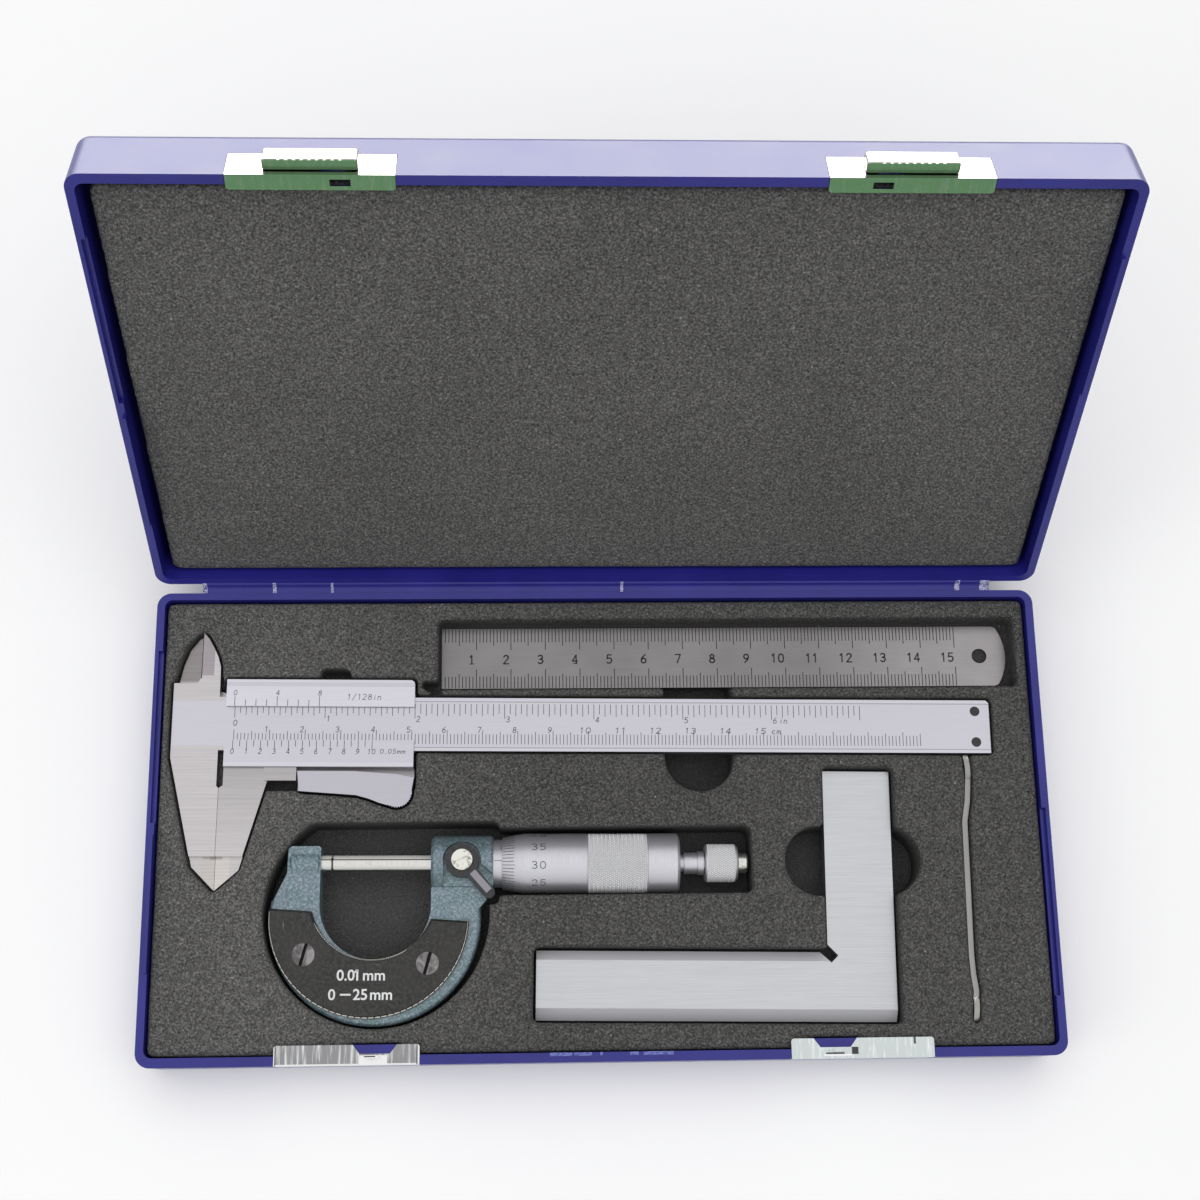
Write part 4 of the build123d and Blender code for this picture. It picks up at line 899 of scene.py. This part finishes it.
def makeBacking():
    # thin sheet under the fitted foam, seen at the bottom of the deep pockets
    shape = backingShape
    columns = round(2 * shape["halfWidth"] / shape["cell"])
    rows = round((shape["back"] - shape["front"]) / shape["cell"])
    points, faces = [], []
    for level, unevenness in (("low", 0.0), ("high", shape["unevenness"])):
        for row in range(rows + 1):
            for column in range(columns + 1):
                x = -shape["halfWidth"] + 2 * shape["halfWidth"] * column / columns
                y = shape["front"] + (shape["back"] - shape["front"]) * row / rows
                points.append((x, y, shape[level] + unevenness * noise.noise(Vector((x, y, 0)) * 0.3)))
    wide = columns + 1
    top = wide * (rows + 1)
    for row in range(rows):
        for column in range(columns):
            a = row * wide + column
            faces.append([a, a + wide, a + wide + 1, a + 1])
            faces.append([top + a, top + a + 1, top + a + wide + 1, top + a + wide])
    rim = list(range(columns)) + [row * wide + columns for row in range(rows)]
    rim += [rows * wide + column for column in range(columns, 0, -1)]
    rim += [row * wide for row in range(rows, 0, -1)]
    for here, after in zip(rim, rim[1:] + rim[:1]):
        faces.append([here, after, top + after, top + here])
    mesh = meshFrom("backing_sheet", points, faces, caseFrame, True)
    piece = newPiece("backing_sheet", mesh, "base", foamFinish)
    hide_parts("foam_backing")


for foamName, foamCut in foamCuts.items():
    makeFoam(foamName, foamCut)
makeBacking()
print("foam cut")


# living hinge between base and lid
hingeShape = {
    "left": -113.2,
    "right": 113.6,
    "path": [(65.7, 18.5), (66.3, 18.62), (66.9, 18.60), (67.5, 18.78), (67.95, 19.20), (68.25, 19.75),
             (68.62, 20.45)],
    "thickness": 0.55,
    "bendThickness": 0.75,  # share of the thickness left at the middle of the path
    "unevenness": 0.05,
    "columns": 160,
    "start": (0, 0.0662, 0.0187),
    "end": (0, 0.0683, 0.0201),
    # middle and half length of each pale mark
    "stressMarks": [(-92.9, 0.5), (-76.5, 0.35), (6.6, 0.4), (104.2, 0.7), (112.4, 1.6), (-112.6, 0.6)],
}


def hingePlastic():
    # blue plastic that has gone pale where the strip was bent too sharply
    material, tree, shader, colour = bluePlastic("hingePlastic")
    x = partsOf(tree, objectPoints(tree))[0]
    rough = noiseField(tree, objectPoints(tree, (1, 3, 3)), 1500.0, 3.0, 0.7)
    marks = []
    for middle, half in hingeShape["stressMarks"]:
        away = combine(tree, "ABSOLUTE", combine(tree, "SUBTRACT", x, middle * milli), 0.0)
        marks.append(combine(tree, "LESS_THAN", away, half * milli))
    patchy = combine(tree, "MULTIPLY", anyOf(tree, marks), ramp(tree, rough, [(0.42, 0.0), (0.56, 0.85)]))
    tree.links.new(mixColours(tree, patchy, colour, (0.62, 0.64, 0.78)), shader.inputs["Base Color"])
    return material


def makeHinge():
    # the outline follows the path on its upper side and comes back on its lower side
    shape = hingeShape
    path, columns = shape["path"], shape["columns"]
    outline = []
    for side in (1, -1):
        row = []
        for index, (y, z) in enumerate(path):
            before, after = path[max(index - 1, 0)], path[min(index + 1, len(path) - 1)]
            dy, dz = after[0] - before[0], after[1] - before[1]
            thin = shape["bendThickness"] if index == len(path) // 2 else 1.0
            half = side * shape["thickness"] / 2 * thin / math.hypot(dy, dz)
            row.append((y - half * dz, z + half * dy))
        outline += row[::side]
    points = []
    for column in range(columns + 1):
        x = shape["left"] + (shape["right"] - shape["left"]) * column / columns
        for y, z in outline:
            points.append((x, y, z + shape["unevenness"] * noise.noise(Vector((x * 0.2, y, z)))))
    mesh = meshFrom("film_hinge", points, barFaces(columns + 1, len(outline)), caseFrame, True)
    piece = newPiece("film_hinge", mesh, None, hingePlastic())
    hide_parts("hinge_strip")
    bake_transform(piece)


makeHinge()
print("hinge ready")


# latches: ribbed thumb tabs on the lid
latchShape = {
    "offset": 69.7,
    "width": 22.0,
    "front": -68.9,
    "back": -66.0,
    "low": 20.85,
    "high": 26.1,
    "lipRadius": 0.55,
    "topRadius": 0.75,
    "sink": 0.1,
    # distance from each end and how full the outline is there
    "ends": [(0, 0.82), (0.35, 0.97), (0.9, 1.0)],
    "ribs": 9,
    "ribbed": 0.72,
    "ribHalf": 0.42,
    "edge": 0.00016,
}


def makeThumbTab(side, name, body, node):
    shape = latchShape
    centre, half = side * shape["offset"], shape["width"] / 2
    low, high = shape["low"], shape["high"]
    middle, depth = (low + high) / 2, shape["back"] - shape["front"]
    # side view of the tab: rounded lip below, sloping top, drawn as (depth, height)
    inner = 0.15
    outline = [(inner, low), (depth - shape["lipRadius"], low)]
    for step in range(7):
        angle = math.radians(-90 + 30 * step)
        if step < 3:
            radius, level = shape["lipRadius"], low + shape["lipRadius"]
        else:
            radius, level = shape["topRadius"], high - shape["topRadius"]
        outline.append((depth - radius + radius * math.cos(angle), level + radius * math.sin(angle)))
    outline.append((inner, high))
    columns = [(away - half, swell) for away, swell in shape["ends"]]
    columns += [(half - away, swell) for away, swell in reversed(shape["ends"])]
    points = []
    for x, swell in columns:
        for out, z in outline:
            y = shape["back"] - shape["sink"] - out * swell
            points.append((centre + x, y, middle + (z - middle) * swell))
    faces = barFaces(len(columns), len(outline))
    # grip ribs across the lip
    pitch = shape["width"] * shape["ribbed"] / shape["ribs"]
    for rib in range(shape["ribs"]):
        x = centre + (rib - (shape["ribs"] - 1) / 2) * pitch
        addBox(points, faces, (x - shape["ribHalf"], shape["front"] + 0.1, low - 0.12),
               (x + shape["ribHalf"], shape["front"] + 1.6, low + 0.5))
    mesh = meshFrom(name, points, faces, lidFrame)
    piece = newPiece(name, mesh, body, latchNickel)
    edge = piece.modifiers.new("edge", "BEVEL")
    edge.width, edge.segments, edge.limit_method = shape["edge"], 2, "ANGLE"
    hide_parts(node)


makeThumbTab(-1, "thumb_tab_left", "catch_left", "latch_slider_left")
makeThumbTab(1, "thumb_tab_right", "catch_right", "latch_slider_right")
print("latches ready")


# caliper scales
caliperScale = {
    "beamTop": 15.8,
    "sliderTop": 16.8,
    "sliderRight": 50.7,
    "proud": 0.012,
    "sunk": 0.05,
    "line": 0.16,
    # metric ticks along the front edge: tops of the ten, five and single millimetre ticks
    "millimetres": 195,
    "front": -5.75,
    "windowFront": -4.95,
    "metricTops": (-1.75, -2.15, -2.8),
    "metricFoot": -2.4,
    # inch ticks along the back edge: feet of the inch, eighth and sixteenth ticks
    "inch": 25.4,
    "inchSixteenths": 112,
    "back": 5.95,
    "windowBack": 4.75,
    "inchFeet": (1.7, 2.4, 3.05),
    "inchFoot": 0.7,
    "figures": {"height": 1.6, "stroke": 0.17, "slant": 0.12},
}
vernierScale = {
    "figures": {"height": 1.45, "stroke": 0.15, "slant": 0.12},
    "metric": {"divisions": 20, "span": 39.0, "lengths": (2.7, 1.8), "gap": 0.05, "foot": -8.9},
    "metricWords": ("0.05mm", 44.8, -8.7, {"height": 1.25, "spread": 1.12}),
    "inch": {"divisions": 8, "span": 23.8125, "lengths": (2.85, 1.85), "gap": 0.15, "foot": 8.0},
    "inchWords": ("1/128in", 36.4, 6.85, {"height": 1.6, "spread": 1.05}),
}


def makeBeamScale():
    scale = caliperScale
    low, high = scale["beamTop"] - scale["sunk"], scale["beamTop"] + scale["proud"]
    half = scale["line"] / 2
    points, faces = [], []
    for tick in range(scale["millimetres"] + 1):
        top = tickSize(tick, scale["metricTops"], 10, 5)
        foot = scale["front"] if tick > scale["sliderRight"] else scale["windowFront"]
        addBox(points, faces, (tick - half, foot, low), (tick + half, top, high))
    for tick in range(scale["inchSixteenths"] + 1):
        u = tick * scale["inch"] / 16
        foot = tickSize(tick, scale["inchFeet"], 16, 2)
        head = scale["back"] if u > scale["sliderRight"] else scale["windowBack"]
        addBox(points, faces, (u - half, foot, low), (u + half, head, high))
    digit = {**scale["figures"], "low": low, "high": high}
    for number in range(1, 16):
        wide = 1.0 if number < 10 else 1.35
        addFigures(points, faces, str(number), number * 10.0 - 1.0, scale["metricFoot"], spread=wide, **digit)
    addFigures(points, faces, "cm", 153.6, scale["metricFoot"], **digit)
    addFigures(points, faces, "0", 0.2, -0.6, **digit)
    for number in range(1, 7):
        addFigures(points, faces, str(number), number * scale["inch"] + 0.9, scale["inchFoot"], **digit)
    addFigures(points, faces, "in", 6 * scale["inch"] + 3.4, scale["inchFoot"], **digit)
    mesh = meshFrom("beam_scale", points, faces, caliperFrame)
    newPiece("beam_scale", mesh, "caliper", markBlack)


def makeVerniers():
    scale = caliperScale
    low, high = scale["sliderTop"] - scale["sunk"], scale["sliderTop"] + scale["proud"]
    half = scale["line"] / 2
    digit = {**vernierScale["figures"], "low": low, "high": high}
    points, faces = [], []
    vernier = vernierScale["metric"]
    start = scale["windowFront"] - vernier["gap"]
    for tick in range(vernier["divisions"] + 1):
        u = tick * vernier["span"] / vernier["divisions"]
        length = vernier["lengths"][0 if tick % 2 == 0 else 1]
        addBox(points, faces, (u - half, start - length, low), (u + half, start, high))
        if tick % 2 == 0:
            addFigures(points, faces, str(tick // 2), u - 0.15, vernier["foot"], **digit)
    vernier = vernierScale["inch"]
    start = scale["windowBack"] + vernier["gap"]
    for tick in range(vernier["divisions"] + 1):
        u = tick * vernier["span"] / vernier["divisions"]
        length = vernier["lengths"][0 if tick % 4 == 0 else 1]
        addBox(points, faces, (u - half, start, low), (u + half, start + length, high))
        if tick % 4 == 0:
            addFigures(points, faces, str(tick), u + 0.05, vernier["foot"], **digit)
    for words, u, v, style in (vernierScale["metricWords"], vernierScale["inchWords"]):
        addFigures(points, faces, words, u, v, **{**digit, **style})
    mesh = meshFrom("vernier_scales", points, faces, caliperFrame)
    newPiece("vernier_scales", mesh, "caliper_jaw", markBlack)


# black countersunk screws that hold the stop on the end of the beam
endScrews = {"u": 211.1, "v": 4.5, "radius": 1.42, "hole": 0.62, "top": 15.8, "around": 28}


def makeEndScrews():
    shape = endScrews
    radius, hole, around = shape["radius"], shape["hole"], shape["around"]
    points, faces = [], []
    profile = [(hole, -0.12), (hole + 0.12, 0.05), (radius - 0.12, 0.09), (radius, 0.0), (radius, -0.25)]
    count = len(profile)
    for side in (-1, 1):
        start = len(points)
        for step in range(around):
            angle = 2 * math.pi * step / around
            for reach, lift in profile:
                u, v = shape["u"] + reach * math.cos(angle), side * shape["v"] + reach * math.sin(angle)
                points.append((u, v, shape["top"] + lift))
        for step in range(around):
            a, b = start + step * count, start + (step + 1) % around * count
            for k in range(count - 1):
                faces.append([a + k, a + k + 1, b + k + 1, b + k])
        faces.append([start + step * count for step in range(around)])
        faces.append([start + step * count + count - 1 for step in reversed(range(around))])
    mesh = meshFrom("end_screw_heads", points, faces, caliperFrame)
    newPiece("end_screw_heads", mesh, "caliper", darkSteel)


makeBeamScale()
makeVerniers()
makeEndScrews()
print("caliper scales ready")


# rule
ruleShape = {
    "zero": -45.5,
    "front": 39.6,
    "back": 57.5,
    "top": 10.0,
    "proud": 0.012,
    "sunk": 0.05,
    "line": 0.24,
    # lengths of the ten, five and single millimetre ticks on the two edges
    "frontTicks": (5.8, 4.4, 3.6),
    "backTicks": (6.4, 5.1, 4.1),
    "margin": 0.1,
    "foot": 7.4,
    "figure": 2.5,
    "stroke": 0.40,
}


def makeRuleScale():
    shape = ruleShape
    points, faces = [], []
    low, high = shape["top"] - shape["sunk"], shape["top"] + shape["proud"]
    half, margin = shape["line"] / 2, shape["margin"]
    front, back = shape["front"], shape["back"]
    for tick in range(1, 151):
        u = shape["zero"] + tick
        ahead = tickSize(tick, shape["frontTicks"], 10, 5)
        behind = tickSize(tick, shape["backTicks"], 10, 5)
        addBox(points, faces, (u - half, front + margin, low), (u + half, front + ahead, high))
        addBox(points, faces, (u - half, back - behind, low), (u + half, back - margin, high))
    foot = front + shape["foot"]
    scaleUp = shape["figure"] / figureCell["high"]
    for number in range(1, 16):
        centre = shape["zero"] + number * 10.0 - (1.4 if number < 10 else 2.2)
        addFigures(points, faces, str(number), centre, foot, shape["figure"], shape["stroke"], low, high)
        if number in (1, 4):  # feet of the lone figures 1 and 4
            serif = [(centre - 1.3 * scaleUp, foot), (centre + 1.7 * scaleUp, foot)]
            addStroke(points, faces, serif, shape["line"], low, high)
    mesh = meshFrom("rule_scale", points, faces, caseFrame)
    newPiece("rule_scale", mesh, "rule", markBlack)


makeRuleScale()
print("rule scale ready")


# micrometer barrel
thimbleShape = {
    "edge": 47.5,
    "bevelEnd": 53.5,
    "knurlStart": 71.4,
    "knurlEnd": 87.8,
    "end": 97.0,
    "radius": 8.4,
    "mouth": 7.3,
    "bore": 7.0,
    "hubStart": 91.0,
    "hubEnd": 93.6,
    "hubBore": 2.8,
    "hole": 2.0,
    "around": 560,
    "knurl": {"pitch": 1.14, "teeth": 80, "depth": 0.34},
}
knobShape = {
    "start": 104.3,
    "knurlStart": 104.9,
    "knurlEnd": 112.7,
    "end": 113.5,
    "radius": 5.4,
    "bore": 2.5,
    "around": 360,
    "knurl": {"pitch": 1.1, "teeth": 52, "depth": 0.30},
}


def onBarrel(u, angle, radius):
    # angle zero looks straight up, positive towards the hinge side
    return (u, radius * math.sin(angle), radius * math.cos(angle))


def ringPiece(name, profile, shape, body, replaced):
    # closed solid of revolution about the spindle axis from (u, radius, share of the knurl) stations
    around, count = shape["around"], len(profile)
    points, faces = [], []
    for k in range(around):
        angle = 2 * math.pi * k / around
        for u, radius, share in profile:
            points.append(onBarrel(u, angle, radius + share * knurlHeight(u, angle, **shape["knurl"])))
    for k in range(around):
        a, b = k * count, ((k + 1) % around) * count
        for i in range(count):
            n = (i + 1) % count
            faces.append([a + i, b + i, b + n, a + n])
    mesh = meshFrom(name, points, faces, micrometerFrame)
    work = bmesh.new()
    work.from_mesh(mesh)
    bmesh.ops.remove_doubles(work, verts=work.verts, dist=1e-7)
    bmesh.ops.recalc_face_normals(work, faces=work.faces)
    work.to_mesh(mesh)
    work.free()
    mesh.shade_smooth()
    mesh.set_sharp_from_angle(angle=math.radians(38))
    piece = newPiece(name, mesh, body, satinChrome)
    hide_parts(replaced)
    return piece


def knurlHeight(u, angle, pitch, teeth, depth):
    # crossed knurl: two opposite sets of helical grooves
    turns = angle / (2 * math.pi) * teeth
    first = abs(((u / pitch + turns) % 1.0) - 0.5) * 2
    second = abs(((u / pitch - turns) % 1.0) - 0.5) * 2
    return depth * (min(first, second) - 1.0)


def plain(stations):
    return [(u, radius, 0) for u, radius in stations]


def knurled(shape, step=0.2):
    start, end = shape["knurlStart"], shape["knurlEnd"]
    count = round((end - start) / step)
    return [(start + (end - start) * i / count, shape["radius"], 1) for i in range(count + 1)]


def dressKnurl(piece, finish, start, end):
    piece.data.materials.append(finish)
    toBarrel = micrometerFrame.inverted()
    for face in piece.data.polygons:
        if start < (toBarrel @ face.center).x < end:
            face.material_index = 1


def makeThimble():
    shape = thimbleShape
    r, groove = shape["radius"], shape["radius"] - 0.25
    edge, bevelEnd, end, mouth = shape["edge"], shape["bevelEnd"], shape["end"], shape["mouth"]
    knurlStart, knurlEnd, hole = shape["knurlStart"], shape["knurlEnd"], shape["hole"]
    profile = plain([(edge, shape["bore"]), (edge, mouth - 0.1), (edge + 0.1, mouth),
                     (bevelEnd - 0.15, r - 0.03), (bevelEnd + 0.15, r), (knurlStart - 0.35, r),
                     (knurlStart - 0.2, groove), (knurlStart - 0.05, groove)])
    profile += knurled(shape)
    profile += plain([(knurlEnd + 0.05, groove), (knurlEnd + 0.2, groove), (knurlEnd + 0.35, r), (end - 0.8, r),
                      (end - 0.2, r - 0.6), (end, r - 0.9), (end, hole), (shape["hubEnd"], hole),
                      (shape["hubEnd"], shape["hubBore"]), (shape["hubStart"], shape["hubBore"]),
                      (shape["hubStart"], shape["bore"])])
    turned = ringPiece("thimble_turned", profile, shape, "thimble_body", "thimble")
    dressKnurl(turned, knurlChrome, knurlStart - 0.02, knurlEnd + 0.02)


def makeKnob():
    shape = knobShape
    start, end, r, bore = shape["start"], shape["end"], shape["radius"], shape["bore"]
    profile = plain([(start, bore), (start, r - 0.7), (start + 0.2, r - 0.35), (start + 0.5, r - 0.25)])
    profile += knurled(shape)
    profile += plain([(end - 0.7, r - 0.25), (end - 0.4, r - 0.35), (end, r - 0.8), (end, bore)])
    turned = ringPiece("ratchet_turned", profile, shape, "ratchet", "ratchet_knob")
    dressKnurl(turned, knobChrome, shape["knurlStart"] - 0.12, shape["knurlEnd"] + 0.12)


makeThimble()
makeKnob()
print("barrel ready")


barrelMarks = {
    "proud": 0.012,
    "sunk": 0.05,
    "divisions": 50,
    "reading": 31.4,
    "lineHalf": 0.075,
    "thimbleTicks": (6.2, 3.3),
    "thimbleFigures": {"height": 2.0, "stroke": 0.20, "low": -0.05, "high": 0.025, "spread": 1.25},
    "sleeveRadius": 6.7,
    "halves": 50,  # half millimetres along the sleeve
    "datum": (45.3, 72.8),
    "datumHalf": 0.011,
    "sleeveLineHalf": 0.07,
    "sleeveTicks": (2.4, 1.7, 1.5),  # every fifth whole, whole and half millimetre marks
    "sleeveFigures": {"height": 1.6, "stroke": 0.15, "low": -0.05, "high": 0.012},
}


def addBarrelLine(points, faces, u0, u1, angle0, angle1, radiusAt, steps=1):
    # a mark laid on the round surface between two stations and two angles
    for step in range(steps):
        a0 = angle0 + (angle1 - angle0) * step / steps
        a1 = angle0 + (angle1 - angle0) * (step + 1) / steps
        start = len(points)
        for lift in (-barrelMarks["sunk"], barrelMarks["proud"]):
            for u, angle in ((u0, a0), (u1, a0), (u1, a1), (u0, a1)):
                points.append(onBarrel(u, angle, radiusAt(u) + lift))
        faces += [[start + corner for corner in face] for face in boxFaces]


def laidOn(centre, radiusAt):
    # lays figures on the round surface, their foot at one angle
    def place(x, y, lift):
        return onBarrel(x, centre + y / radiusAt(x), radiusAt(x) + lift)
    return place


def thimbleRadius(u):
    edge, bevelEnd, mouth = thimbleShape["edge"], thimbleShape["bevelEnd"], thimbleShape["mouth"]
    share = min(max((u - edge) / (bevelEnd - edge), 0), 1)
    return mouth + (thimbleShape["radius"] - mouth) * share


def sleeveRadius(u):
    return barrelMarks["sleeveRadius"]


def makeThimbleMarks():
    marks, edge = barrelMarks, thimbleShape["edge"]
    points, faces = [], []
    halfAngle = marks["lineHalf"] / thimbleShape["mouth"]
    for mark in range(marks["divisions"]):
        angle = (mark - marks["reading"]) * 2 * math.pi / marks["divisions"]
        length = marks["thimbleTicks"][0 if mark % 5 == 0 else 1]
        addBarrelLine(points, faces, edge + 0.15, edge + length, angle - halfAngle, angle + halfAngle,
                      thimbleRadius)
        if mark % 5 == 0:
            addFigures(points, faces, str(mark), edge + 10.2, -1.0, place=laidOn(angle, thimbleRadius),
                       **marks["thimbleFigures"])
    mesh = meshFrom("thimble_scale", points, faces, micrometerFrame)
    newPiece("thimble_scale", mesh, "thimble_body", markBlack)


def makeSleeveMarks():
    # datum line, with whole millimetres on one side of it and half millimetres on the other
    marks, radius = barrelMarks, barrelMarks["sleeveRadius"]
    (start, end), line = marks["datum"], marks["sleeveLineHalf"]
    points, faces = [], []
    addBarrelLine(points, faces, start, end, -marks["datumHalf"], marks["datumHalf"], sleeveRadius)
    for mark in range(marks["halves"] + 1):
        u = thimbleShape["edge"] + 0.1 + mark * 0.5
        fifth, whole, half = marks["sleeveTicks"]
        reach = fifth if mark % 10 == 0 else whole
        low, high = (0.0, reach / radius) if mark % 2 == 0 else (-half / radius, 0.0)
        addBarrelLine(points, faces, u - line, u + line, low, high, sleeveRadius, steps=3)
        if mark % 10 == 0 and mark < marks["halves"]:
            addFigures(points, faces, str(mark // 2), u, 0.0, place=laidOn(3.0 / radius, sleeveRadius),
                       **marks["sleeveFigures"])
    mesh = meshFrom("sleeve_scale", points, faces, micrometerFrame)
    newPiece("sleeve_scale", mesh, "micrometer", markBlack)


makeThimbleMarks()
makeSleeveMarks()
print("barrel marks ready")


# cover lettering
coverText = {
    "face": 5.0,
    "rows": [("0.0", 5.05, -32.4, 4.1), ("1", 8.2, -32.4, 4.1), ("mm", 12.75, -32.4, 4.1),
             ("0", 1.4, -37.6, 4.1), ("\u2013", 5.1, -37.6, 5.4), ("25", 9.15, -37.6, 4.1),
             ("mm", 14.8, -37.6, 4.1)],  # words, middle, foot and size
    "flag": [(7.45, -30.3), (8.05, -29.65)],  # short stroke at the head of the figure 1
    "flagWidth": 0.5,
    "thickness": 0.03,
    "weight": 0.07,
}
# rubbed arcs with a painted highlight: centre, radius, first and last angle
coverEdges = {
    "outer": ((10.9, -15.1), 27.3, 177.0, 357.0),
    "inner": ((11.9, -9.5), 17.5, 205.0, 303.0),
    "width": 0.46,
    "steps": 48,
    "low": 4.70,
    "high": {"outer": 4.78, "inner": 4.82},
}


def makeCoverText():
    shape = coverText
    parts = bmesh.new()
    for words, u, v, size in shape["rows"]:
        curve = bpy.data.curves.new("coverWords", "FONT")
        curve.body = words
        curve.align_x, curve.align_y = "CENTER", "BOTTOM_BASELINE"
        curve.size = size
        curve.extrude = shape["thickness"]
        curve.offset = shape["weight"]
        curve.resolution_u = 4
        holder = bpy.data.objects.new("coverWords", curve)
        scene.collection.objects.link(holder)
        graph = bpy.context.evaluated_depsgraph_get()
        mesh = bpy.data.meshes.new_from_object(holder.evaluated_get(graph))
        mesh.transform(micrometerFrame @ Matrix.Translation((u, v, shape["face"])))
        parts.from_mesh(mesh)
        bpy.data.objects.remove(holder)
    points, faces = [], []
    addStroke(points, faces, shape["flag"], shape["flagWidth"], shape["face"] - shape["thickness"],
              shape["face"] + shape["thickness"])
    parts.from_mesh(meshFrom("flag", points, faces, micrometerFrame))
    mesh = bpy.data.meshes.new("cover_figures")
    parts.to_mesh(mesh)
    parts.free()
    newPiece("cover_figures", mesh, "micrometer", markWhite)


def makeCoverEdges():
    # the edges of the black cover where the lacquer is rubbed off, as a painted highlight that fades out at
    # both ends
    shape, steps = coverEdges, coverEdges["steps"]
    points, faces = [], []
    for key in ("outer", "inner"):
        (u, v), radius, first, last = shape[key]
        path = []
        for step in range(steps + 1):
            angle = math.radians(first + (last - first) * step / steps)
            path.append((u + radius * math.cos(angle), v + radius * math.sin(angle)))
        for index, ends in enumerate(zip(path, path[1:])):
            fade = math.sin(math.pi * (index + 0.5) / steps) ** 0.4
            addStroke(points, faces, ends, shape["width"] * fade, shape["low"], shape["high"][key])
    mesh = meshFrom("cover_rubbed_edge_highlight", points, faces, micrometerFrame)
    newPiece("cover_rubbed_edge_highlight", mesh, "micrometer", rubbedEdgeHighlight)


makeCoverText()
makeCoverEdges()
print("cover figures ready")
